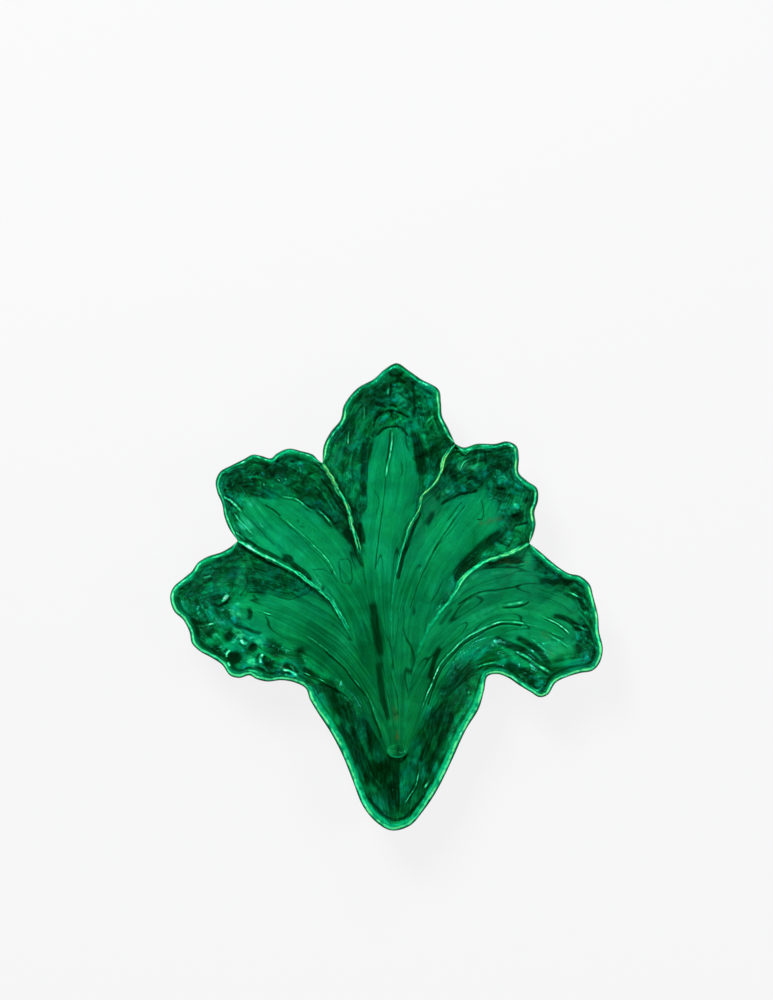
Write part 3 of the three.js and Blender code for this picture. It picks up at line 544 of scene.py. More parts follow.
def margin_edges(runs, widths, closes):
    """Outer edge, crest and start of the underside along both runs of a free margin. widths are the lip's
    at the notches and between them, and closes tells whether it closes up at each notch."""
    whole = np.vstack([runs[0], runs[1][-2::-1]])
    ahead = np.gradient(whole[:, :2], axis=0)
    inward = np.column_stack([ahead[:, 1], -ahead[:, 0]]) / np.linalg.norm(ahead, axis=1)[:, None]
    from_ends = [np.linalg.norm(whole - whole[0], axis=1), np.linalg.norm(whole - whole[-1], axis=1)]
    lip = widths[0] + (widths[1] - widths[0]) * smooth(0, LIP_GROWTH, np.minimum(*from_ends))
    for far, closing in zip(from_ends, closes):
        if closing:
            lip = np.minimum(lip, far / 2)
    inward = np.column_stack([inward * lip[:, None], np.zeros(len(whole))])
    count = len(runs[0])
    edges = []
    for part in (slice(0, count), slice(len(whole) - 1, count - 2, -1)):
        edges.append({
            "crest": whole[part] + inward[part],
            "outer": whole[part],
            "under": whole[part] + inward[part] * UNDER_INSET})
    return edges


FOOT_LOW, FOOT_HIGH = (np.array(corner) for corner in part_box("foot_ring"))
BASE_MARGIN = 5 * MM  # the base is flat this far past the foot ring, then rises over BASE_BLEND
BASE_BLEND = 24 * MM


def underside_level(plan, upper):
    """Flat over the foot ring, then a clay wall below the upper face."""
    spread = (FOOT_HIGH - FOOT_LOW)[:2]
    from_foot = np.linalg.norm((plan - (FOOT_LOW + FOOT_HIGH)[:2] / 2) / spread, axis=-1)
    leaving = smooth(BASE_MARGIN, BASE_MARGIN + BASE_BLEND, (from_foot - 0.5) * spread.min())
    return BASE_LEVEL + leaving * np.maximum(0, upper - CLAY_WALL - BASE_LEVEL)


TOP_STEPS = 72
LIP_STEPS = 30
UNDER_STEPS = 14
WALL_CURVE = 1.25  # above 1 a wall curves up from its floor


def sections(inner, edge, floor):
    """Rows across a shell at each station: the upper face from its inner line to the crest, round the lip
    and back under. Returns the rows' points and the upper face's shares."""
    shares = np.linspace(0, 1, TOP_STEPS + 1)[None, :]
    floor = floor[:, None]

    def rows(outer, t):
        points = inner[:, None, :] + (outer - inner)[:, None, :] * t[..., None]
        rise = np.maximum(0, (t - floor) / (1 - floor)) ** WALL_CURVE
        points[..., 2] = inner[:, None, 2] + (edge["crest"][:, None, 2] - inner[:, None, 2]) * rise
        return points

    upper = rows(edge["crest"], shares)
    under = rows(edge["under"], np.linspace(1, 0, UNDER_STEPS + 1)[None, :])
    under[..., 2] = underside_level(under[..., :2], under[..., 2])
    lip = []
    for turn in np.linspace(0, math.pi, LIP_STEPS + 2)[1:-1]:
        out = math.sin(turn)
        last = edge["crest"] if turn < math.pi / 2 else edge["under"]
        row = last + (edge["outer"] - last) * out
        drop = (1 - math.cos(turn)) / 2
        row[:, 2] = edge["crest"][:, 2] * (1 - drop) + under[:, 0, 2] * drop
        lip.append(row)
    return np.concatenate([upper, np.stack(lip, axis=1), under], axis=1), shares


STROKE_SKIP = 4  # a stroke needs only every fourth fine step


def apart(plan, points):
    """Millimetres from each point in plan to a drawn line, and the share of the way along it."""
    line = place(curve_through(points))[::STROKE_SKIP, :2]
    along = length_shares(line)
    nearest = np.full(plan.shape[:-1], np.inf)
    share = np.zeros(plan.shape[:-1])
    for a, b, low, high in zip(line[:-1], line[1:], along[:-1], along[1:]):
        t = np.clip(((plan - a) @ (b - a)) / ((b - a) @ (b - a)), 0, 1)
        far = np.linalg.norm(plan - a - t[..., None] * (b - a), axis=-1)
        closer = far < nearest
        nearest = np.where(closer, far, nearest)
        share = np.where(closer, low + (high - low) * t, share)
    return nearest / MM, share


SLOPE_REACH = 3 * MM  # distance from a seam at which the slope beside it is read
SEAM_ROUND = {"cup_to_lower_left": 9 * MM, "lower_right_to_cup": 9 * MM}
RIDGE_ROUND = 1.2 * MM
ROUND_MOST = 0.4  # share of the way to the midrib that the rounding may take
ROUND_START = 0.05  # shares of a seam between which it is rounded in full
ROUND_END = 0.85
NARROWEST = 0.1 * MM


def ease_seams(shells):
    """Evens out the bend where two shells meet, so that the upper face runs on from one to the other."""
    slopes = {}
    for shell in shells:
        away, level = shell["away"], shell["points"][:, :TOP_STEPS + 1, 2]
        found = []
        for far, row in zip(away, level):
            order = np.argsort(far)
            near = min(SLOPE_REACH, max(far.max(), NARROWEST))
            found.append((np.interp(near, far[order], row[order]) - row[order[0]]) / near)
        slopes.setdefault(shell["seam"], []).append((shell, np.array(found)))
    for seam, pair in slopes.items():
        bend = sum(found[shell["seam_part"]] for shell, found in pair) / 2
        narrow = np.minimum(*[shell["reach"][shell["seam_part"]] for shell, found in pair])
        width = np.minimum(SEAM_ROUND.get(seam, RIDGE_ROUND), ROUND_MOST * narrow)[:, None]
        share = np.linspace(0, 1, SEAM_STEPS + 1)[:, None]
        fade = smooth(0, ROUND_START, share) * (1 - smooth(ROUND_END, 1, share))
        for shell, found in pair:
            far = shell["away"][shell["seam_part"]]
            lift = bend[:, None] * fade * (np.sqrt(far ** 2 + width ** 2) - far)
            shell["points"][shell["seam_part"], :TOP_STEPS + 1, 2] += lift


# Sine waves that add up to wandering values: bends along x and y, share of the start, and strength
WAVES = [(1.9, 1.4, 1.0, 1.0), (1.2, -2.1, 2.3, 1.0), (3.7, 4.3, 1.7, 0.6), (4.6, -3.1, 0.6, 0.6)]


def waver(plan, size, start):
    """Wandering values between -1 and 1 over the plan, with bends about as long as size."""
    x, y = plan[..., 0] / size, plan[..., 1] / size
    total = sum(strength * np.sin(a * x + b * y + c * start) for a, b, c, strength in WAVES)
    return total / sum(wave[-1] for wave in WAVES)


WOBBLE = 0.6 * MM
WOBBLE_SIZE = 11 * MM
WOBBLE_STARTS = (1.3, 4.1)


def wobble(plan):
    """Points moved a little, so that drawn lines aren't ruler-straight."""
    return plan + WOBBLE * np.stack([waver(plan, WOBBLE_SIZE, start) for start in WOBBLE_STARTS], axis=-1)


# A ridge between two leaves has a pale line of thin glaze and painted highlight that strays from the seam,
# and thin strands that split off it
RIDGE_HEIGHT = 1.8 * MM
RIDGE_WIDTH = 2.6 * MM
MEANDER = 0.8 * MM
MEANDER_BENDS = [(7 * MM, 0.7, 1.0), (2.6 * MM, 4.4, 0.9)]  # length, start and share
GLOW_SWING = 0.6  # of the line's width
GLOW_BENDS = 6 * MM
STRAND_APART = 2.6 * MM
STRAND_WIDTH = 0.6 * MM
STRAND_GLOW = 0.8
STRAND_SWING = 0.35
STRAND_BENDS = 10 * MM
STRAND_LENGTH = 16 * MM
STRAND_EDGES = (-0.1, 0.5)
# Distance, half width and tone of the shade painted beside a ridge, and inside a free rim
RIDGE_SHADES = [(2.9 * MM, 0.9 * MM, -0.8), (5.6 * MM, 2.6 * MM, -0.5)]
RIM_SHADES = [(3.0 * MM, 1.0 * MM, -0.6)]
GROOVE_DEPTH = 0.5 * MM
# Shade is painted darker further down the sides of the cup, except near its notches
CUP_SHADE = 0.5
CUP_SHADE_START = 2 * MM
CUP_SHADE_REACH = 16 * MM
CUP_SHADE_CLEAR = 12 * MM
LIP_BAND = 0.4  # glow of a lip that is wholly pale


def lip_band(shell):
    """Glow of a pale lip, from inside its crest to its bright line."""
    return LIP_BAND * max(shell["rim"][-1], 0)


def crest_fields(shell, from_rim):
    """Glow, tone and lift of the upper face along a crest: a ridge, or the inside of a free rim."""
    free = shell["free"]
    crest = shell["points"][:, TOP_STEPS, :2]
    ridge = np.where(free, 0, shell["edge_glow"])[:, None]
    rim = (shell["edge_glow"] * free)[:, None]
    sway = sum(share * waver(crest, size, start) for size, start, share in MEANDER_BENDS)
    beside = from_rim - (shell["side"] * MEANDER * sway * ~free)[:, None]
    width = shell["glow_width"] * (1 + GLOW_SWING * waver(crest, GLOW_BENDS, start=2.9))[:, None]
    glow = (ridge + lip_band(shell) * rim) * np.exp(-(beside / width) ** 2)
    strand_at = (STRAND_APART * (1 + STRAND_SWING * waver(crest, STRAND_BENDS, start=6.1)))[:, None]
    split = smooth(*STRAND_EDGES, shell["side"] * waver(crest, STRAND_LENGTH, start=1.1))[:, None]
    glow += STRAND_GLOW * ridge * split * np.exp(-((beside - strand_at) / STRAND_WIDTH) ** 2)
    lift = RIDGE_HEIGHT * ridge * np.exp(-(beside / RIDGE_WIDTH) ** 2)
    tone = np.zeros(from_rim.shape)
    for amount, shades in ((ridge * shell["shade"], RIDGE_SHADES), (rim, RIM_SHADES)):
        for middle, half_width, shade in shades:
            groove = amount * np.exp(-((beside - middle) / half_width) ** 2)
            tone += shade * groove
            lift = lift - GROOVE_DEPTH * groove
    if shell["seam"] in SEAM_ROUND:
        from_lip = beside if shell["side_of"] == "cup" else CUP_SHADE_REACH - shell["away"]
        deep = smooth(CUP_SHADE_START, CUP_SHADE_REACH, from_lip)
        tone -= CUP_SHADE * deep * smooth(CUP_SHADE_START, CUP_SHADE_CLEAR, shell["from_free"])
    return glow, tone, lift


# A pale stroke up to THIN_STROKE in half width is a beaded line with painted shade as a dark line beside it,
# others are blunt
THIN_STROKE = 1.5
THIN_TAPER = 0.15  # share of the stroke's length
BLUNT_TAPER = 1.5  # in half widths
BEAD_LENGTH = 5 * MM
BEAD_LEAST = 0.4
BEAD_EDGES = (-0.5, 0.2)
BESIDE_AT = 2.3  # in half widths
BESIDE_TONE = 0.6


def add_strokes(strokes, plan, keep, tone, lift):
    """Tone and lift with drawn strokes added to them."""
    beads = BEAD_LEAST + (1 - BEAD_LEAST) * smooth(*BEAD_EDGES, waver(plan, BEAD_LENGTH, start=3.7))
    for line, width, height, stroke_tone in strokes:
        distance, share = apart(plan, line)
        blunt = stroke_tone < 0 or width > THIN_STROKE
        length = np.linalg.norm(np.diff(np.array(line, float), axis=0), axis=1).sum()
        taper_share = min(0.5, BLUNT_TAPER * width / length) if blunt else THIN_TAPER
        taper = np.clip(np.minimum(share, 1 - share) / taper_share, 0, 1)
        if blunt:
            profile = np.exp(-(distance / width) ** 4) * taper
        else:
            profile = np.exp(-(distance / width) ** 2) * taper * beads
            dark = taper * np.exp(-((distance - BESIDE_AT * width) / width) ** 2)
            tone = tone - BESIDE_TONE * stroke_tone * dark
        tone = tone + stroke_tone * profile
        lift = lift + height * MM * profile * keep
    return tone, lift


# A pale line of thin glaze and painted highlight runs along the lip; it strays, comes and goes, and has
# painted glints here and there. It is painted duller on rims at the far side, whose inner slope faces away
# from the light, and painted dark as shade on the outside. Places are shares of the turn.
LINE_SWING = 0.05
LINE_BENDS = 9 * MM
LINE_LEVEL = 1.1
LINE_PATCHES = 0.8
PATCH_BENDS = 8 * MM
FAR_EDGES = (0.1, 0.9)
FAR_LOSS = 0.7
GLINT_TONE = 1.5
GLINT_WIDTH = 0.8
GLINT_BENDS = 6 * MM
GLINT_EDGES = (0.2, 0.55)
LIP_SHADE = 1.1
LIP_SHADE_AT = 0.42
LIP_SHADE_WIDTH = 0.11
LEAST_LIP = 0.01 * MM
UNDER_EDGE = -9.0  # far from any floor


def lip_fields(shell):
    """Glow, tone and floor edge round the lip, from its crest to the underside."""
    points = shell["points"]
    crest = points[:, TOP_STEPS, :2]
    line_at, line_half, strength, _, paleness = shell["rim"]
    line_at = (line_at + LINE_SWING * waver(crest, LINE_BENDS, start=5.2))[:, None]
    turn = np.linspace(0, 1, LIP_STEPS + 2)[1:-1]
    outward = points[:, TOP_STEPS + LIP_STEPS // 2, :2] - crest
    facing = outward[:, 1] / np.maximum(np.linalg.norm(outward, axis=1), LEAST_LIP)
    bright = strength * (LINE_LEVEL + LINE_PATCHES * waver(crest, PATCH_BENDS, start=3.4))
    bright = (bright * (1 - FAR_LOSS * smooth(*FAR_EDGES, facing)))[:, None]
    glow = bright * np.exp(-((turn - line_at) / line_half) ** 2)
    glow = np.maximum(glow, lip_band(shell) * (1 - smooth(line_at, line_at + line_half, turn)))
    glints = smooth(*GLINT_EDGES, waver(crest, GLINT_BENDS, start=8.2))[:, None]
    tone = GLINT_TONE * glints * np.exp(-((turn - line_at) / (GLINT_WIDTH * line_half)) ** 2)
    tone = tone - LIP_SHADE * np.exp(-((turn - LIP_SHADE_AT) / LIP_SHADE_WIDTH) ** 2)
    return glow, tone, np.where(turn < line_at + line_half, paleness, UNDER_EDGE)


FLUTE_HEIGHT = 0.9 * MM
KEEP_CLEAR = 3 * MM  # drawn relief fades out this near to a seam
UNEVEN_EDGES = (2, -4)  # millimetres inside the floor's edge between which the wall's crinkles set in
CRINKLE_CORE = 0.3  # share of its radius over which a crinkled patch has its full strength


def dress(shell):
    """Adds ridges, flutes and strokes to a shell, and returns the fields that its glaze is coloured by."""
    points, shares, free = shell["points"], shell["shares"], shell["free"]
    reach = shell["reach"][:, None]
    upper = points[:, :TOP_STEPS + 1]
    plan = wobble(upper[..., :2])
    from_rim = (1 - shares) * reach
    in_floor = (shell["lights"][:, None] - shares) * reach / MM
    keep = np.where(shell["seamed"][:, None], smooth(0, KEEP_CLEAR, shell["away"]), 1.0)
    glow, tone, lift = crest_fields(shell, from_rim)
    lift = lift + FLUTE_HEIGHT * shell["flutes"][:, None] * (1 - shares ** 2)
    tone, lift = add_strokes(shell["strokes"], plan, keep, tone, lift)
    crinkle = shell["uneven"] * smooth(*UNEVEN_EDGES, in_floor)
    for line, radius, amount in shell["crinkles"]:
        near = 1 - smooth(CRINKLE_CORE, 1, apart(plan, line)[0] / radius)
        crinkle = np.maximum(crinkle, amount * near)
    rust = np.zeros(from_rim.shape)
    for line, width, amount in shell["rust"]:
        rust += amount * np.exp(-(apart(plan, line)[0] / width) ** 2)
    swell = np.zeros(from_rim.shape)
    for x, y, radius, height in shell["blisters"]:
        away = np.linalg.norm(plan - place((x, y))[:2], axis=-1)
        swell += height * np.exp(-(away / (radius * MM)) ** 2) * keep
    upper[..., 2] += lift + swell * MM
    lip_glow, lip_tone, lip_edge = lip_fields(shell)

    def whole(on_upper, on_lip=0.0, on_under=0.0):
        lip = np.broadcast_to(on_lip, (len(points), LIP_STEPS))
        under = np.broadcast_to(on_under, (len(points), UNDER_STEPS + 1))
        return np.concatenate([np.broadcast_to(on_upper, from_rim.shape), lip, under], axis=1)

    warm = np.where(free, shell["rim"][3], shell["warm"])[:, None]
    grain = [whole(shell["along"]), whole(shell["across"] * shell["side"]), whole(0.0)]
    return {
        "floor_edge": whole(in_floor / shell["soft"], lip_edge, UNDER_EDGE),
        "glow": whole(glow, (shell["edge_glow"] * free)[:, None] * lip_glow),
        "tone": whole(tone, free[:, None] * lip_tone),
        "crinkle": whole(crinkle * keep),
        "swell": whole(swell),
        "rust": whole(rust),
        "warm": np.broadcast_to(warm, points.shape[:2]),
        "upper": whole(keep),
        "grain": np.stack(grain, axis=-1),
    }


SAME_POINT = 0.001 * MM
SHARP_BEND = math.radians(62)


def mesh_from_rows(name, points, fields, capped):
    """Closed mesh from rows that go round a shell at each station. Points that fall together become one."""
    stations, around = points.shape[:2]
    flat = points.reshape(-1, 3)
    rounded = np.round(flat / SAME_POINT)
    _, first, index = np.unique(rounded, axis=0, return_index=True, return_inverse=True)
    index = index.reshape(stations, around)
    after = np.roll(index, -1, axis=1)
    quads = np.stack([index[:-1], index[1:], after[1:], after[:-1]], axis=-1).reshape(-1, 4)
    faces = []
    for quad in quads.tolist():
        corners = [c for k, c in enumerate(quad) if c != quad[k - 1]]
        if len(set(corners)) == len(corners) and len(corners) > 2:
            faces.append(corners)
    if capped:
        faces.append(index[0].tolist())
    mesh = bpy.data.meshes.new(name)
    mesh.from_pydata(flat[first].tolist(), [], faces)
    for field, values in fields.items():
        vector = values.ndim == 3
        layer = mesh.attributes.new(field, "FLOAT_VECTOR" if vector else "FLOAT", "POINT")
        kept = values.reshape(len(flat), -1)[first]
        layer.data.foreach_set("vector" if vector else "value", kept.ravel())
    mesh.polygons.foreach_set("use_smooth", [True] * len(mesh.polygons))
    mesh.set_sharp_from_angle(angle=SHARP_BEND)
    obj = bpy.data.objects.new(name, mesh)
    bpy.context.scene.collection.objects.link(obj)
    return obj


SEAM_STEPS = 150
MARGIN_STEPS = 150
RIM_GLOW_WIDTH = 1.2 * MM


def all_margins():
    """Both runs of every free margin, with the cup's lip running on into its two neighbours' lips."""
    left, right = LEAVES["leaf_lower_left"]["margin"], LEAVES["leaf_lower_right"]["margin"]
    found = {}
    for name, leaf in LEAVES.items():
        beside_cup = (name == "leaf_lower_left", name == "leaf_lower_right")
        runs = margin_runs(
            leaf["margin"], leaf["tip"], MARGIN_STEPS,
            CUP_MARGIN[-2] if beside_cup[0] else None, CUP_MARGIN[1] if beside_cup[1] else None)
        found[name] = margin_edges(runs, (LIP_WIDTH, LIP_WIDTH), (not beside_cup[0], not beside_cup[1]))
    cup_runs = margin_runs(CUP_MARGIN, CUP_TIP, CUP_STEPS, right[-2], left[1])
    found["stem_cup"] = margin_edges(cup_runs, (LIP_WIDTH, CUP_LIP_WIDTH), (False, False))
    for name, half in (("leaf_lower_right", 1), ("leaf_lower_left", 0)):
        for key in ("crest", "under"):
            ends = found[name][half][key], found["stem_cup"][1 - half][key]
            ends[0][0] = ends[1][0] = (ends[0][0] + ends[1][0]) / 2
    return found


SEAM_BEND = 0.6  # from this share on, a seam bends to meet the crest of the lip


def seam_line(name, end):
    """A seam from the stalk to the crest of the lip at its notch."""
    shares = np.linspace(0, 1, SEAM_STEPS + 1)
    line = place(spaced(curve_through(SEAMS[name]), shares))
    return line + (end - line[-1]) * smooth(SEAM_BEND, 1, shares)[:, None]


# Shares of a midrib over which the broad floor of its stalk, painted pale as lit, ends, its flutes start and
# end, and the thin glaze on its ridges turns yellow
STALK_ENDS = (0.4, 0.52)
FLUTES_START = (0.06, 0.15)
FLUTES_END = (0.35, 0.6)
WARM_STARTS = (0.5, 0.7)
STALK_PALE = 0.4  # how much further the pale floor reaches on the stalk
UNEVEN = 0.5  # how much a wall is crinkled
UNEVEN_BY_CUP = 0.2
NO_GLOW = [(0, 0), (1, 0)]


def leaf_shells(name):
    """The two halves of a leaf, from its stalk to its tip."""
    leaf = LEAVES[name]
    to_notch = np.linspace(0, 1, SEAM_STEPS + 1)
    to_tip = np.linspace(0, 1, MARGIN_STEPS + 1)[1:]
    notch = leaf["notch"]
    stations = np.concatenate([to_notch * notch, notch + to_tip * (1 - notch)])
    rib = place(spaced(curve_through(leaf["rib"]), stations))
    rib_length = np.linalg.norm(np.diff(rib, axis=0), axis=1).sum()
    free = np.arange(len(stations)) >= SEAM_STEPS
    shells = []
    for half, seam_name in enumerate(leaf["seams"]):
        margin = MARGINS[name][half]
        seam = seam_line(seam_name, margin["crest"][0])
        edge = {key: np.vstack([seam[:-1], run]) for key, run in margin.items()}
        points, shares = sections(rib, edge, value_at(leaf["floors"][half], stations))
        reach = np.linalg.norm((edge["crest"] - rib)[:, :2], axis=1)
        lights = leaf.get("light", (None, None))[half] or leaf["floors"][half]
        stalk = STALK_PALE * (1 - smooth(*STALK_ENDS, stations))
        seam_glow = value_at(CREST_GLOW.get(seam_name, NO_GLOW), to_notch)
        from_notch = points[:, :TOP_STEPS + 1, :2] - edge["outer"][SEAM_STEPS, :2]
        shells.append({
            "points": points,
            "shares": shares,
            "reach": reach,
            "away": (1 - shares) * reach[:, None],
            "seam": seam_name,
            "seam_part": slice(0, SEAM_STEPS + 1),
            "seamed": ~free,
            "free": free,
            "lights": value_at(lights, stations) + stalk,
            "soft": leaf["soft"][half],
            "rim": leaf["rim"],
            "shade": leaf["shade"][half],
            "side_of": "leaf",
            "from_free": np.linalg.norm(from_notch, axis=-1),
            "edge_glow": np.concatenate([seam_glow[:-1], np.ones(MARGIN_STEPS + 1)]),
            "glow_width": RIM_GLOW_WIDTH,
            "warm": CREST_WARM.get(seam_name, 0) * smooth(*WARM_STARTS, stations),
            "flutes": smooth(*FLUTES_START, stations) * (1 - smooth(*FLUTES_END, stations)),
            "strokes": leaf["strokes"],
            "uneven": UNEVEN_BY_CUP if seam_name in SEAM_ROUND else UNEVEN,
            "crinkles": leaf["crinkles"],
            "blisters": leaf["blisters"],
            "rust": leaf.get("rust", []),
            "along": (length_shares(rib) * rib_length / MM)[:, None],
            "across": shares * reach[:, None] / MM,
            "side": 1 if half == 0 else -1,
        })
    return shells


def leaf_object(name, shells):
    """One leaf, as rows that go right round both its halves."""
    inner = slice(-2, 0, -1)
    first, second = (dress(shell) for shell in shells)
    points = np.concatenate([shells[0]["points"], shells[1]["points"][:, inner]], axis=1)
    joined = {key: np.concatenate([first[key], second[key][:, inner]], axis=1) for key in first}
    return mesh_from_rows(name + "_body", points, joined, capped=True)


# The stem cup's two halves are drawn here too, so that the faces can be evened out where it meets the
# leaves. Its rows go from its inner edge, along the stalk and the leaves' seams, out to its rim.
STALK_POINT = (9.5, -131, 0)
CUP_TIP = 8
CUP_FLOORS = [(0, 0.6), (0.3, 0.2), (0.42, 0.18), (0.6, 0.02), (1, 0)]
CUP_LIGHT = [(0, 0.3), (0.3, 0.1), (0.42, 0.05), (0.6, 0), (1, 0)]
CUP_STALK_STEPS = 72
CUP_STEPS = CUP_STALK_STEPS + SEAM_STEPS
CUP_LIP_WIDTH = 5.0 * MM
CUP_GLOW_WIDTH = 1.5 * MM
CUP_RIM = (0.175, 0.075, 1.0, 0.45, 0.85)
CUP_SOFT = 3.0
CUP_UNEVEN = 0.25
FAR_AWAY = 1.0  # no notch is near
# The cup's streaks close up towards its tip: widths that count as a millimetre, at y in millimetres
CUP_FAN_Y = (-195, -165, -137, -67)
CUP_FAN_WIDTH = (0.4 * MM, 0.8 * MM, 1.15 * MM, 2.0 * MM)
# Strokes on the cup: dark ones paint shade in its crease, round the stalk's end, along its walls and inside
# its tip, pale ones paint light beside the crease and glints
CUP_STROKES = [
    ([(16, -134), (15.3, -152), (13, -180)], 3.6, 0.2, 0.5),
    ([(-6, -134), (-3, -155), (3, -173)], 6.0, -0.2, -0.5),
    ([(1, -133), (4, -138), (9.5, -140.5), (15, -138), (18, -133)], 0.9, -0.3, -1.2),
    ([(4.6, -134), (5.4, -154), (8, -179)], 6.2, -0.3, -0.75),
    ([(10.6, -136), (10.4, -155), (10.2, -180)], 0.8, -0.3, -0.9),
    ([(-40, -104), (-26, -128), (-14, -158)], 3.0, -0.3, -0.7),
    ([(-50, -82), (-38, -93), (-27, -108)], 7.0, -0.3, -0.6),
    ([(-30, -108), (-19, -132), (-8, -160)], 2.0, -0.2, -0.7),
    ([(56, -96), (46, -122), (34, -150)], 3.0, -0.3, -0.7),
    ([(46, -92), (38, -116), (29, -140)], 2.4, -0.2, -0.7),
    ([(-14, -168), (-7, -177), (1, -184), (8, -186), (15, -184), (24, -176),
      (33, -164)], 0.8, -0.9, -2.6),
    ([(28, -146), (24, -160), (15, -175)], 0.5, 0.4, 1.5),
    ([(-15, -146), (-8, -155), (-2, -161)], 0.5, 0.3, 0.9),
    ([(-18, -100), (-11, -115), (-9, -132)], 5.0, -0.3, -0.7),
    ([(52, -84), (44, -100), (37, -118)], 5.0, -0.4, -0.7),
    ([(-66, -83), (-60, -92), (-53, -102)], 0.8, 0.3, 1.6),
    ([(53, -79), (54, -78)], 0.9, 0.2, 1.8),
    ([(69, -81), (70, -80)], 0.9, 0.2, 1.8),
    ([(36, -154), (32, -160)], 0.8, 0.2, 1.2),
]


def cup_shells():
    """The two halves of the stem cup, from the crease at its tip round to its notches."""
    middle = place(STALK_POINT)
    margins = MARGINS["stem_cup"]
    stations = np.linspace(0, 1, CUP_STEPS + 1)
    shells = []
    for half, seam_name in enumerate(("lower_right_to_cup", "cup_to_lower_left")):
        seam = seam_line(seam_name, margins[half]["crest"][0])
        t = np.linspace(0, 1, CUP_STALK_STEPS + 1)[:-1, None]
        inner = np.vstack([middle + (seam[0] - middle) * t, seam])
        edge = {key: run[::-1] for key, run in margins[half].items()}
        points, shares = sections(inner, edge, value_at(CUP_FLOORS, stations))
        reach = np.linalg.norm((edge["crest"] - inner)[:, :2], axis=1)
        plan = points[:, :TOP_STEPS + 1, :2]
        fan = np.interp(plan[..., 1] / MM, CUP_FAN_Y, CUP_FAN_WIDTH)
        shells.append({
            "points": points,
            "shares": shares,
            "reach": reach,
            "away": shares * reach[:, None],
            "seam": seam_name,
            "seam_part": slice(CUP_STALK_STEPS, CUP_STEPS + 1),
            "seamed": np.full(CUP_STEPS + 1, True),
            "free": np.full(CUP_STEPS + 1, True),
            "lights": value_at(CUP_LIGHT, stations),
            "soft": CUP_SOFT,
            "rim": CUP_RIM,
            "shade": 1.0,
            "side_of": "cup",
            "from_free": np.full(plan.shape[:2], FAR_AWAY),
            "edge_glow": np.ones(CUP_STEPS + 1),
            "glow_width": CUP_GLOW_WIDTH,
            "warm": 0,
            "flutes": np.zeros(CUP_STEPS + 1),
            "strokes": CUP_STROKES,
            "uneven": CUP_UNEVEN,
            "crinkles": [],
            "blisters": [],
            "rust": [],
            "along": plan[..., 1] / MM,
            "across": np.abs(plan[..., 0] - middle[0]) / fan,
            "side": -1 if half == 0 else 1,
        })
    return shells


def add_node(tree, kind, inputs=None, **settings):
    """A node with its settings, and with values or links on its inputs."""
    node = tree.nodes.new(kind)
    for key, value in settings.items():
        setattr(node, key, value)
    for key, value in (inputs or {}).items():
        if isinstance(value, bpy.types.NodeSocket):
            tree.links.new(value, node.inputs[key])
        else:
            node.inputs[key].default_value = value
    return node


def maths(tree, operation, a, b=0.0, c=0.0):
    """Output of a maths node."""
    return add_node(tree, "ShaderNodeMath", {0: a, 1: b, 2: c}, operation=operation).outputs[0]


def ramp(tree, value, low, high, to_low=0.0, to_high=1.0):
    """Smooth step of a value from one range to another."""
    return add_node(
        tree, "ShaderNodeMapRange", {0: value, 1: low, 2: high, 3: to_low, 4: to_high},
        interpolation_type="SMOOTHSTEP").outputs[0]


WARP = 12 * MM  # how far the blisters and crinkles are pulled about, with WARP_BENDS a metre
WARP_BENDS = 70.0
BLISTER_ROUND = 0.35
RIB_BENDS = (0.035, 0.25, 0.0)  # fine ribs, as bends a millimetre along and across a leaf


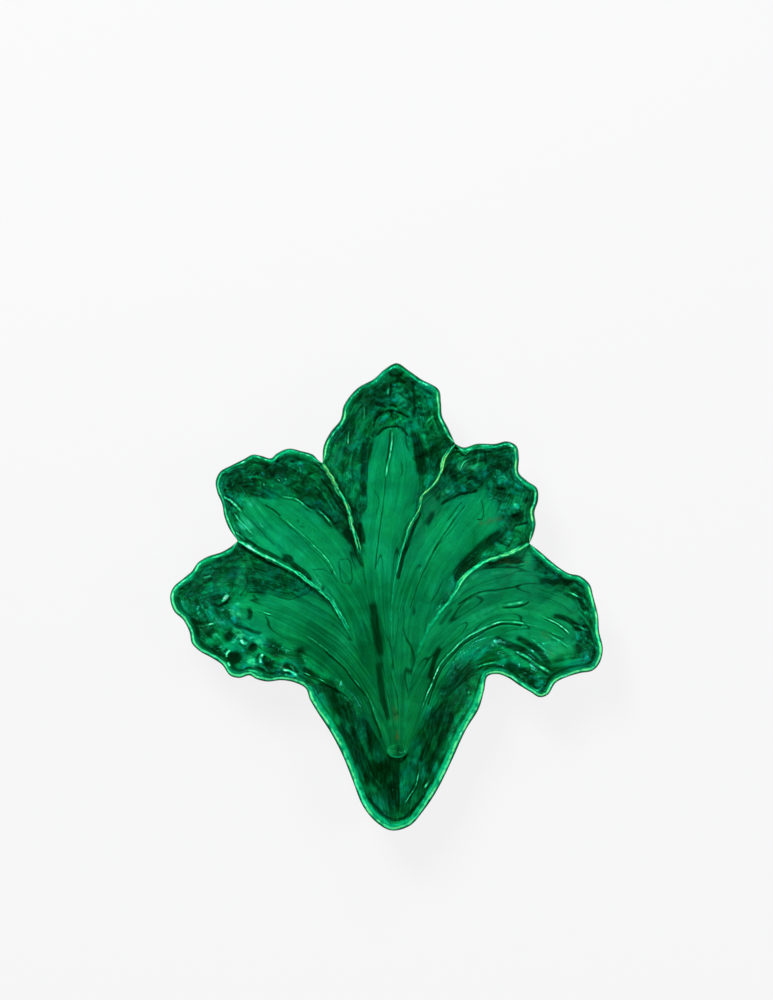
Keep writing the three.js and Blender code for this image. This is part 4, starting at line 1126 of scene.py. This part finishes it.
def relief_tree():
    """Geometry nodes that raise blisters and crinkles where the clay was pinched, and fine ribs."""
    tree = bpy.data.node_groups.new("leaf_relief", "GeometryNodeTree")
    tree.is_modifier = True
    tree.interface.new_socket("Geometry", in_out="INPUT", socket_type="NodeSocketGeometry")
    for label in ("Blister Size", "Blister Height", "Crinkle Size", "Crinkle Height", "Grain Height"):
        tree.interface.new_socket(label, in_out="INPUT", socket_type="NodeSocketFloat")
    tree.interface.new_socket("Glaze", in_out="INPUT", socket_type="NodeSocketMaterial")
    tree.interface.new_socket("Geometry", in_out="OUTPUT", socket_type="NodeSocketGeometry")
    given = add_node(tree, "NodeGroupInput").outputs

    def attribute(name, kind="FLOAT"):
        node = add_node(tree, "GeometryNodeInputNamedAttribute", {"Name": name}, data_type=kind)
        return node.outputs["Attribute"]

    def noise(vector, scale, output="Fac"):
        inputs = {"Vector": vector, "Scale": scale, "Detail": 1.0}
        return add_node(tree, "ShaderNodeTexNoise", inputs).outputs[output]

    place_now = add_node(tree, "GeometryNodeInputPosition").outputs[0]
    warped = add_node(
        tree, "ShaderNodeVectorMath",
        {0: noise(place_now, WARP_BENDS, "Color"), 1: (WARP, WARP, WARP), 2: place_now},
        operation="MULTIPLY_ADD").outputs[0]
    blister_scale = maths(tree, "DIVIDE", 1.0, given["Blister Size"])
    cells = add_node(
        tree, "ShaderNodeTexVoronoi",
        {"Vector": warped, "Scale": blister_scale, "Smoothness": BLISTER_ROUND},
        feature="SMOOTH_F1").outputs["Distance"]
    blister = ramp(tree, cells, 0.75, 0.1, -0.6, 1.0)
    rough = noise(warped, maths(tree, "DIVIDE", 1.0, given["Crinkle Size"]))
    rough = ramp(tree, rough, 0.25, 0.75, -1.0, 1.0)
    bumps = maths(tree, "MULTIPLY", rough, given["Crinkle Height"])
    bumps = maths(tree, "MULTIPLY_ADD", blister, given["Blister Height"], bumps)
    bumps = maths(tree, "MULTIPLY", bumps, attribute("crinkle"))
    stretched = add_node(
        tree, "ShaderNodeVectorMath", {0: attribute("grain", "FLOAT_VECTOR"), 1: RIB_BENDS},
        operation="MULTIPLY").outputs[0]
    ribs = maths(tree, "SUBTRACT", noise(stretched, 1.0), 0.5)
    ribs = maths(tree, "MULTIPLY", ribs, given["Grain Height"])
    lift = maths(tree, "MULTIPLY_ADD", ribs, attribute("upper"), bumps)
    offset = add_node(tree, "ShaderNodeCombineXYZ", {"Z": lift}).outputs[0]
    relief = maths(tree, "MULTIPLY_ADD", bumps, 1 / MM, attribute("swell"))
    stored = add_node(
        tree, "GeometryNodeStoreNamedAttribute",
        {"Geometry": given["Geometry"], "Name": "relief", "Value": relief},
        data_type="FLOAT", domain="POINT").outputs[0]
    moved = add_node(tree, "GeometryNodeSetPosition", {"Geometry": stored, "Offset": offset}).outputs[0]
    real = add_node(tree, "GeometryNodeRealizeInstances", {"Geometry": moved}).outputs[0]
    coat = {"Geometry": real, "Material": given["Glaze"]}
    glazed = add_node(tree, "GeometryNodeSetMaterial", coat).outputs[0]
    add_node(tree, "NodeGroupOutput", {"Geometry": glazed})
    return tree


def run_tree(obj, tree, values):
    """Runs a geometry tree on an object with named inputs, and keeps the result as its mesh."""
    modifier = obj.modifiers.new(tree.name, "NODES")
    modifier.node_group = tree
    for item in tree.interface.items_tree:
        if item.in_out == "INPUT" and item.name in values:
            modifier[item.identifier] = values[item.name]
    depsgraph = bpy.context.evaluated_depsgraph_get()
    made = bpy.data.meshes.new_from_object(
        obj.evaluated_get(depsgraph), preserve_all_data_layers=True, depsgraph=depsgraph)
    obj.modifiers.remove(modifier)
    obj.data = made


# Linear colours of the glaze: floor painted pale as lit, walls painted darker as shaded, painted shade, thin
# glaze with painted highlights on rims and ridges, and painted glints
FLOOR_GREEN = (0.002, 0.265, 0.092, 1)
DEEP_FLOOR_GREEN = (0.0, 0.105, 0.036, 1)
WALL_GREEN = (0.0, 0.21, 0.08, 1)
DEEP_WALL_GREEN = (0.0, 0.06, 0.013, 1)
POOL_AND_SHADE_GREEN = (0.0, 0.012, 0.002, 1)
RIM_GREEN = (0.035, 0.86, 0.34, 1)
EMERALD_GREEN = (0.0, 0.4, 0.15, 1)
YELLOW_GREEN = (0.24, 0.92, 0.24, 1)
GLINT_GREEN = (0.35, 1.0, 0.78, 1)
CYAN_GREEN = (0.0, 0.4, 0.3, 1)
RUST_BROWN = (0.045, 0.07, 0.012, 1)
STALK_TINT = (1.2, 0.6, 0.4, 1)
GLOSS_TINT = (0.04, 1.0, 0.62, 1)  # the glaze colours what it mirrors
CLOUD_TINTS = ((1.0, 1.04, 0.74, 1), (1.0, 0.97, 1.12, 1))
SMALL_CLOUD_TINTS = ((1.0, 1.03, 0.86, 1), (1.0, 0.98, 1.08, 1))
# Marks that the glaze left as it ran, as bends a millimetre along and across a leaf
FLOOR_STREAKS = (0.009, 0.15, 0.0)
WALL_STREAKS = (0.05, 0.33, 0.0)
HAIRS = (0.07, 0.7, 0.0)
GRIT = (0.25, 1.1, 0.0)
# Loops of thin dark lines painted as the outlines of reflections: bends a millimetre along and across a
# leaf, and the lines' count
REFLECTION_LOOPS = (0.012, 0.042, 0.0)
REFLECTION_LOOP_LINES = 4.5
# Clouds, patches and specks in it, as bends a metre
WIDE_CLOUDS = 22.0
CLOUDS = 38.0
PATCHES = 60.0
RIPPLES = 90.0
SMALL_CLOUDS = 120.0
BLOTCHES = 220.0
FINE_PATCHES = 240.0
SPECKS = 330.0
FLECKS = 420.0
# Distances from the stalk over which a floor's dark streaks and its brown tint fade out
STREAKS_FADE = (90 * MM, 170 * MM)
TINT_FADES = (240 * MM, 20 * MM)
EDGE_WANDER = 3.0
GLAZE_ROUGHNESS = 0.1
GLAZE_BUMP = 1.5 * MM


def glaze_material():
    """Glossy lead glaze whose colour follows the floors, walls, crests, folds and blisters, with light and
    shade painted in.
    """
    material = bpy.data.materials.new("green_glaze")
    material.use_nodes = True
    tree = material.node_tree
    tree.nodes.clear()

    def attribute(name):
        return add_node(tree, "ShaderNodeAttribute", attribute_name=name).outputs

    def noise(vector, scale, detail=2.0, rough=0.5, twist=0.0):
        inputs = {"Vector": vector, "Scale": scale, "Detail": detail, "Roughness": rough}
        return add_node(tree, "ShaderNodeTexNoise", {**inputs, "Distortion": twist}).outputs["Fac"]

    def mixed(factor, a, b, blend="MIX"):
        return add_node(
            tree, "ShaderNodeMix", {0: factor, 6: a, 7: b}, data_type="RGBA", blend_type=blend).outputs[2]

    def stretched(vector, scales):
        return add_node(
            tree, "ShaderNodeVectorMath", {0: vector, 1: scales}, operation="MULTIPLY").outputs[0]

    where = add_node(tree, "ShaderNodeTexCoord").outputs["Object"]
    grain = attribute("grain")["Vector"]
    streaks = noise(stretched(grain, FLOOR_STREAKS), 1.0, 2.0, 0.5, 0.8)
    wall_streaks = noise(stretched(grain, WALL_STREAKS), 1.0, 3.0, 0.6, 0.6)
    hairs = noise(stretched(grain, HAIRS), 1.0, 3.0, 0.6, 0.8)
    grit = noise(stretched(grain, GRIT), 1.0, 2.0, 0.6, 0.5)
    reflection_loops = noise(stretched(grain, REFLECTION_LOOPS), 1.0, 1.0)
    wide = noise(where, WIDE_CLOUDS)
    patchy = noise(where, PATCHES, 2.0, 0.5, 0.6)
    fine = noise(where, FINE_PATCHES, 3.0)
    blotches = noise(where, BLOTCHES, 3.0, 0.6, 1.0)

    # Floor painted pale as if lit and wall painted darker as if shaded, with a wandering edge between them
    wander = maths(tree, "SUBTRACT", noise(where, RIPPLES), 0.5)
    edge = maths(tree, "MULTIPLY_ADD", wander, EDGE_WANDER, attribute("floor_edge")["Fac"])
    light = ramp(tree, edge, -1.0, 1.0)
    floor_tone = maths(tree, "MULTIPLY_ADD", streaks, 0.6, maths(tree, "MULTIPLY", wide, 0.4))
    stalk = tuple(place(STALK_POINT))
    from_stalk = add_node(
        tree, "ShaderNodeVectorMath", {0: where, 1: stalk}, operation="DISTANCE").outputs["Value"]
    least = ramp(tree, from_stalk, *STREAKS_FADE, 0.0, 0.45)
    floor_tone = add_node(
        tree, "ShaderNodeMapRange", {0: floor_tone, 1: 0.39, 2: 0.58, 3: least, 4: 1.0}).outputs[0]
    floor = mixed(floor_tone, DEEP_FLOOR_GREEN, FLOOR_GREEN)
    crinkled = attribute("crinkle")["Fac"]
    mottling = ramp(tree, crinkled, 0.25, 0.7, 0.12, 0.45)
    wall_tone = maths(tree, "MULTIPLY_ADD", wall_streaks, 0.4, maths(tree, "MULTIPLY", patchy, 0.4))
    wall_tone = maths(tree, "MULTIPLY_ADD", hairs, 0.2, wall_tone)
    wall_tone = maths(tree, "MULTIPLY_ADD", maths(tree, "SUBTRACT", blotches, 0.5), mottling, wall_tone)
    wall = mixed(ramp(tree, wall_tone, 0.42, 0.58), DEEP_WALL_GREEN, WALL_GREEN)
    most = ramp(tree, patchy, 0.42, 0.6, 0.0, 0.7)
    specks = ramp(tree, noise(where, SPECKS, 1.0), 0.62, 0.7, 0.0, most)
    specks = maths(tree, "MULTIPLY", specks, ramp(tree, crinkled, 0.25, 0.5))
    wall = mixed(specks, wall, EMERALD_GREEN)
    colour = mixed(light, wall, floor)

    # Clouded depth, and a brown tint towards the stalk
    depth = ramp(tree, patchy, 0.3, 0.7, 0.85, 1.15)
    depth = maths(tree, "MULTIPLY", depth, ramp(tree, hairs, 0.3, 0.7, 0.94, 1.06))
    depth = maths(tree, "MULTIPLY", depth, ramp(tree, grit, 0.3, 0.7, 0.88, 1.12))
    colour = add_node(tree, "ShaderNodeHueSaturation", {"Color": colour, "Value": depth}).outputs[0]
    clouding = ramp(tree, light, 0.0, 1.0, 1.0, 0.4)
    tint = mixed(ramp(tree, noise(where, CLOUDS), 0.38, 0.62), *CLOUD_TINTS)
    colour = mixed(clouding, colour, tint, "MULTIPLY")
    tint = mixed(ramp(tree, noise(where, SMALL_CLOUDS), 0.4, 0.6), *SMALL_CLOUD_TINTS)
    colour = mixed(clouding, colour, tint, "MULTIPLY")
    near_stalk = maths(tree, "MULTIPLY", ramp(tree, from_stalk, *TINT_FADES, 0.0, 0.9), light)
    colour = mixed(near_stalk, colour, STALK_TINT, "MULTIPLY")

    # Thin dark lines in long loops on the floors, painted as the outlines of reflections
    lines = maths(tree, "FRACT", maths(tree, "MULTIPLY", reflection_loops, REFLECTION_LOOP_LINES))
    lines = maths(tree, "ABSOLUTE", maths(tree, "SUBTRACT", lines, 0.5))
    lines = maths(tree, "MULTIPLY", ramp(tree, lines, 0.0, 0.07, 1.0, 0.0), light)
    lines = maths(tree, "MULTIPLY", lines, ramp(tree, wide, 0.48, 0.58, 0.0, 0.8))
    colour = mixed(lines, colour, POOL_AND_SHADE_GREEN)

    # Shade is painted dark in the blisters' folds and a highlight pale on their tops
    relief = attribute("relief")["Fac"]
    pits = ramp(tree, relief, -0.2, -1.6, 0.0, 0.85)
    colour = mixed(pits, colour, POOL_AND_SHADE_GREEN)
    tops = maths(tree, "MULTIPLY", ramp(tree, relief, 0.6, 2.2), ramp(tree, fine, 0.35, 0.65, 0.25, 0.8))
    colour = mixed(tops, colour, CYAN_GREEN)

    # Veins, folds, ridges and rims: painted shade where the tone is below 0, thin glaze and painted
    # highlights above it, rust, and painted glints
    tone = attribute("tone")["Fac"]
    pooled_and_shaded = ramp(tree, tone, 0.0, -1.0)
    pooled_and_shaded = maths(tree, "MULTIPLY", pooled_and_shaded, ramp(tree, hairs, 0.3, 0.7, 1.0, 0.75))
    colour = mixed(pooled_and_shaded, colour, POOL_AND_SHADE_GREEN)
    tone = maths(tree, "MULTIPLY", tone, ramp(tree, fine, 0.32, 0.6, 0.35, 1.0))
    colour = mixed(ramp(tree, tone, 0.0, 1.0, 0.0, 0.9), colour, RIM_GREEN)
    stain = maths(tree, "MULTIPLY", attribute("rust")["Fac"], ramp(tree, fine, 0.4, 0.6, 0.1, 1.0))
    colour = mixed(stain, colour, RUST_BROWN)
    yellow = maths(tree, "MULTIPLY", attribute("warm")["Fac"], ramp(tree, patchy, 0.35, 0.55))
    thin = mixed(yellow, RIM_GREEN, YELLOW_GREEN)
    glow = maths(tree, "MULTIPLY", attribute("glow")["Fac"], ramp(tree, fine, 0.3, 0.6, 0.45, 1.15))
    colour = mixed(ramp(tree, glow, 0.0, 0.4), colour, EMERALD_GREEN)
    colour = mixed(ramp(tree, glow, 0.3, 1.0), colour, thin)
    flecks = ramp(tree, noise(where, FLECKS, 2.0, 0.6), 0.4, 0.56)
    flecks = maths(tree, "MULTIPLY", ramp(tree, tone, 0.7, 1.3), flecks)
    colour = mixed(flecks, colour, GLINT_GREEN)

    # Uneven surface, which mirrors less where shade is painted into folds and pits
    height = maths(tree, "MULTIPLY", wall_streaks, 0.4)
    height = maths(tree, "MULTIPLY_ADD", noise(where, RIPPLES, 1.0), 0.6, height)
    height = maths(tree, "MULTIPLY_ADD", blotches, 0.5, height)
    strength = ramp(tree, light, 0.0, 1.0, 0.4, 0.15)
    bump = {"Height": height, "Strength": strength, "Distance": GLAZE_BUMP}
    mirroring = ramp(tree, maths(tree, "MAXIMUM", pooled_and_shaded, pits), 0.2, 1.0, 0.5, 0.12)
    shader = add_node(tree, "ShaderNodeBsdfPrincipled", {
        "Base Color": colour,
        "Roughness": GLAZE_ROUGHNESS,
        "Specular IOR Level": mirroring,
        "Specular Tint": GLOSS_TINT,
        "Normal": add_node(tree, "ShaderNodeBump", bump).outputs[0],
    }).outputs[0]
    add_node(tree, "ShaderNodeOutputMaterial", {"Surface": shader})
    return material


RELIEF = relief_tree()
GLAZE = glaze_material()
LEAF_RELIEF = {
    "Blister Size": 9 * MM,
    "Blister Height": 1.7 * MM,
    "Crinkle Size": 6 * MM,
    "Crinkle Height": 1.4 * MM,
    "Grain Height": 0.8 * MM,
    "Glaze": GLAZE,
}
MARGINS = all_margins()
SHELLS = {leaf_name: leaf_shells(leaf_name) for leaf_name in LEAVES}
SHELLS["stem_cup"] = cup_shells()
ease_seams([shell for pair in SHELLS.values() for shell in pair])
for leaf_name in LEAVES:
    leaf_body = leaf_object(leaf_name, SHELLS[leaf_name])
    run_tree(leaf_body, RELIEF, LEAF_RELIEF)
    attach(leaf_body, "root")
    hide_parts(leaf_name)


# Stem cup
# A deep V-shaped trough that holds the stalks, pressed from the same clay and luted to the two lower
# leaves. Its rounded lip is broader than the leaves', and the glaze lies thin along it under a painted
# highlight.
def cup_object(shells):
    """The cup, as rows that go round its wall from one notch past the crease to the other."""
    right, left = (dress(shell) for shell in shells)
    points = np.concatenate([shells[0]["points"][:0:-1], shells[1]["points"]])
    joined = {key: np.concatenate([right[key][:0:-1], left[key]]) for key in right}
    return mesh_from_rows("stem_cup_body", points, joined, capped=False)


stem_cup = cup_object(SHELLS["stem_cup"])
run_tree(stem_cup, RELIEF, LEAF_RELIEF)
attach(stem_cup, "root")
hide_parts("stem_cup")


# Stalk end
# The rounded, hollowed end of the bunched stalks: a small pad of clay pressed over the point where they
# meet the cup, with a lip on the side of the cup, under the same glaze. Shade is painted in its hollow and a
# highlight along its lip.
STALK_LOW, STALK_HIGH = (np.array(corner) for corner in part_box("stalk_end"))
STALK_RINGS = 24
STALK_SPOKES = 72
STALK_SINK = 1 * MM
STALK_LEAST = 0.15  # share of its height that is left on the side of the leaves
LIP_RISE = (-0.5, 0.8)  # from facing away from the cup to facing it
HOLLOW_DEPTH = 0.45
HOLLOW_WIDTH = 0.5
# Shade painted in the hollow
HOLLOW_SHADE = -0.45
HOLLOW_EDGES = (0.5, 0.8)
# The paler line on the lip is a painted highlight
PALE_AT = 0.8  # a paler line on the lip, as shares of the way out
PALE_WIDTH = 0.12
PALE_GLOW = 0.5
PALE_SIDE = (0.3, 0.9)
STALK_FLOOR_EDGE = 4.0  # well inside a pale floor


def stalk_object():
    """A pad with an oval base, hollowed in the middle and lipped on the cup's side."""
    turns = np.linspace(0, 2 * math.pi, STALK_SPOKES, endpoint=False)[:, None]
    out = np.linspace(0, 1, STALK_RINGS + 1)[None, :]
    facing = -np.sin(turns)
    lip = smooth(*LIP_RISE, facing)
    dip = 1 - HOLLOW_DEPTH * np.exp(-(out / HOLLOW_WIDTH) ** 2) * lip
    rise = np.sqrt(1 - out ** 2) * dip * (STALK_LEAST + (1 - STALK_LEAST) * lip)
    half = (STALK_HIGH - STALK_LOW) / 2
    middle = (STALK_HIGH + STALK_LOW) / 2

    def oval(reach, level):
        x = middle[0] + half[0] * reach * np.cos(turns)
        y = middle[1] + half[1] * reach * np.sin(turns)
        return np.stack([x, y, np.broadcast_to(level, x.shape)], axis=-1)

    def turned(on_top, on_base):
        spokes = np.concatenate([on_top, on_base], axis=1)
        return np.concatenate([spokes, spokes[:1]])[::-1]

    top = oval(out, FLOOR_LEVEL + (STALK_HIGH[2] - FLOOR_LEVEL) * rise)
    points = turned(top, oval(out[:, ::-1], FLOOR_LEVEL - STALK_SINK))
    none = np.zeros(top.shape[:2])
    line = np.exp(-((out - PALE_AT) / PALE_WIDTH) ** 2) * smooth(*PALE_SIDE, facing)
    hollow = np.broadcast_to(1 - smooth(*HOLLOW_EDGES, out), none.shape)
    fields = {name: turned(none, none) for name in ("crinkle", "swell", "rust", "warm", "upper")}
    fields["floor_edge"] = np.full(points.shape[:2], STALK_FLOOR_EDGE)
    fields["glow"] = PALE_GLOW * turned(line, none)
    fields["tone"] = HOLLOW_SHADE * turned(hollow, none)
    fields["grain"] = points[..., [1, 0, 2]] / MM
    return mesh_from_rows("stalk_end_body", points, fields, capped=False)


stalk_end = stalk_object()
run_tree(stalk_end, RELIEF, LEAF_RELIEF)
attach(stalk_end, "root")
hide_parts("stalk_end")


# Foot ring
# An oval ring of bare fired clay, luted under the base and wiped clean of glaze so that it doesn't stick
# in the kiln. Its lower edge is worn round.
FOOT_WALL = 7 * MM
FOOT_STEPS = 160
# Shares of the wall and of the height
FOOT_PROFILE = [(0, 1), (0, 0.3), (0.1, 0.1), (0.3, 0), (0.7, 0), (0.9, 0.1), (1, 0.3), (1, 1)]
CLAY_DARK = (0.42, 0.25, 0.13, 1)
CLAY_PALE = (0.62, 0.4, 0.22, 1)
CLAY_GRAIN = 900.0  # bends a metre
CLAY_BUMP = 0.4 * MM


def clay_material():
    """Matt buff clay with a fine grain."""
    material = bpy.data.materials.new("bare_clay")
    material.use_nodes = True
    tree = material.node_tree
    tree.nodes.clear()
    where = add_node(tree, "ShaderNodeTexCoord").outputs["Object"]
    grain = add_node(
        tree, "ShaderNodeTexNoise", {"Vector": where, "Scale": CLAY_GRAIN, "Detail": 4.0}).outputs["Fac"]
    colour = add_node(
        tree, "ShaderNodeMix", {0: ramp(tree, grain, 0.3, 0.7), 6: CLAY_DARK, 7: CLAY_PALE},
        data_type="RGBA").outputs[2]
    bump = {"Height": grain, "Strength": 0.3, "Distance": CLAY_BUMP}
    shader = add_node(tree, "ShaderNodeBsdfPrincipled", {
        "Base Color": colour,
        "Roughness": 0.85,
        "Specular IOR Level": 0.2,
        "Normal": add_node(tree, "ShaderNodeBump", bump).outputs[0],
    }).outputs[0]
    add_node(tree, "ShaderNodeOutputMaterial", {"Surface": shader})
    return material


def foot_object():
    """Oval ring with a rounded lower edge."""
    turns = np.linspace(0, 2 * math.pi, FOOT_STEPS + 1)[:, None]
    wall, high = np.array(FOOT_PROFILE).T
    half = (FOOT_HIGH - FOOT_LOW)[:2] / 2
    middle = (FOOT_HIGH + FOOT_LOW)[:2] / 2
    points = np.stack([
        middle[0] + (half[0] - FOOT_WALL * wall) * np.cos(turns),
        middle[1] + (half[1] - FOOT_WALL * wall) * np.sin(turns),
        np.broadcast_to(BASE_LEVEL * high, (FOOT_STEPS + 1, len(wall)))], axis=-1)
    return mesh_from_rows("foot_ring_body", points[::-1], {}, capped=False)


foot_ring = foot_object()
foot_ring.data.materials.append(clay_material())
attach(foot_ring, "root")
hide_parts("foot_ring")


# Table, studio and camera
# The platter lies on a pale plain table, lit softly from the sides, and is seen from straight above. The
# glaze mirrors a dark sky with soft screens low round the studio.
BACKGROUND = 0.921
TABLE_HALF = 6.0
TABLE_GREY = 0.85
TABLE_EVEN = 0.92  # share of its look that light and shade don't change
table = bpy.data.objects.new("table", bpy.data.meshes.new("table"))
corners = [(x * TABLE_HALF, y * TABLE_HALF, 0) for x, y in ((-1, -1), (1, -1), (1, 1), (-1, 1))]
table.data.from_pydata(corners, [], [(0, 1, 2, 3)])
bpy.context.scene.collection.objects.link(table)
paper = bpy.data.materials.new("table_paper")
paper.use_nodes = True
paper_tree = paper.node_tree
paper_tree.nodes.clear()
grey = (TABLE_GREY, TABLE_GREY, TABLE_GREY, 1)
matt = add_node(paper_tree, "ShaderNodeBsdfDiffuse", {"Color": grey}).outputs[0]
pale = (BACKGROUND, BACKGROUND, BACKGROUND, 1)
plain = add_node(paper_tree, "ShaderNodeEmission", {"Color": pale, "Strength": 1.0}).outputs[0]
seen = add_node(paper_tree, "ShaderNodeLightPath").outputs["Is Camera Ray"]
even = maths(paper_tree, "MULTIPLY", seen, TABLE_EVEN)
both = add_node(paper_tree, "ShaderNodeMixShader", {0: even, 1: matt, 2: plain}).outputs[0]
add_node(paper_tree, "ShaderNodeOutputMaterial", {"Surface": both})
table.data.materials.append(paper)
table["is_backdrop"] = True

LAMP_AIM = (0, 0, 20 * MM)
DAYLIGHT = (0.85, 0.86, 1)
SOFTBOXES = [  # place, width, height, watts, and whether the glaze mirrors it
    ((-0.9, 1.6, 1.6), 0.8, 0.8, 58, False),
    ((1.6, 0.0, 1.4), 0.8, 0.8, 15, False),
    ((-0.3, -1.6, 1.6), 0.8, 0.8, 6, False),
    ((0.5, 2.2, 1.2), 0.5, 0.35, 16, True),
    ((-1.9, 1.4, 1.1), 0.4, 0.4, 4, True),
    ((2.0, 0.9, 1.2), 0.4, 0.4, 4, True),
    ((-0.9, 1.1, 2.0), 0.2, 0.2, 9, True),
]
for number, (spot, width, height, watts, mirrored) in enumerate(SOFTBOXES):
    lamp = bpy.data.lights.new("softbox_%d" % number, "AREA")
    lamp.shape = "RECTANGLE"
    lamp.size = width
    lamp.size_y = height
    lamp.energy = watts
    lamp.color = DAYLIGHT if mirrored else (1, 1, 1)
    box = bpy.data.objects.new(lamp.name, lamp)
    box.location = spot
    aim = np.array(LAMP_AIM) - np.array(spot)
    tilt = math.atan2(np.hypot(*aim[:2]), -aim[2])
    box.rotation_euler = (tilt, 0, math.atan2(aim[1], aim[0]) - math.pi / 2)
    box.visible_glossy = mirrored
    bpy.context.scene.collection.objects.link(box)

SKY_FILL = 0.1
SCREEN_LEVEL = 0.7
DARK_LEVEL = 0.01
world = bpy.data.worlds.new("studio")
world.use_nodes = True
sky_tree = world.node_tree
sky_tree.nodes.clear()
rays = add_node(sky_tree, "ShaderNodeLightPath").outputs
bearing = add_node(sky_tree, "ShaderNodeTexCoord").outputs["Generated"]
upwards = add_node(sky_tree, "ShaderNodeSeparateXYZ", {0: bearing}).outputs["Z"]
clouds = add_node(
    sky_tree, "ShaderNodeTexNoise", {"Vector": bearing, "Scale": 2.0, "Detail": 0.0}).outputs["Fac"]
screens = ramp(sky_tree, upwards, 0.93, 0.35)
screens = maths(sky_tree, "MULTIPLY", screens, ramp(sky_tree, clouds, 0.45, 0.6))
mirrored_level = maths(sky_tree, "MULTIPLY_ADD", screens, SCREEN_LEVEL, DARK_LEVEL)
level = maths(sky_tree, "MULTIPLY_ADD", rays["Is Camera Ray"], BACKGROUND - SKY_FILL, SKY_FILL)
change = maths(sky_tree, "SUBTRACT", mirrored_level, level)
level = maths(sky_tree, "MULTIPLY_ADD", rays["Is Glossy Ray"], change, level)
sky = add_node(sky_tree, "ShaderNodeBackground", {"Color": (1, 1, 1, 1), "Strength": level}).outputs[0]
add_node(sky_tree, "ShaderNodeOutputWorld", {"Surface": sky})
bpy.context.scene.world = world

PHOTO_HEIGHT = 832.5 * MM  # height of the picture at the level of the rims
PHOTO_ABOVE = 80.9 * MM  # the picture's middle lies this far beyond the platter's middle
CAMERA_RISE = 3.0
SENSOR = 24.0
camera = bpy.data.objects.new("camera", bpy.data.cameras.new("camera"))
camera.data.sensor_fit = "VERTICAL"
camera.data.sensor_height = SENSOR
camera.data.lens = SENSOR * CAMERA_RISE / PHOTO_HEIGHT
camera.location = (0, PHOTO_ABOVE, CAD_HIGH[2] + CAMERA_RISE)
bpy.context.scene.collection.objects.link(camera)
bpy.context.scene.camera = camera
bpy.context.scene.view_settings.view_transform = "Standard"
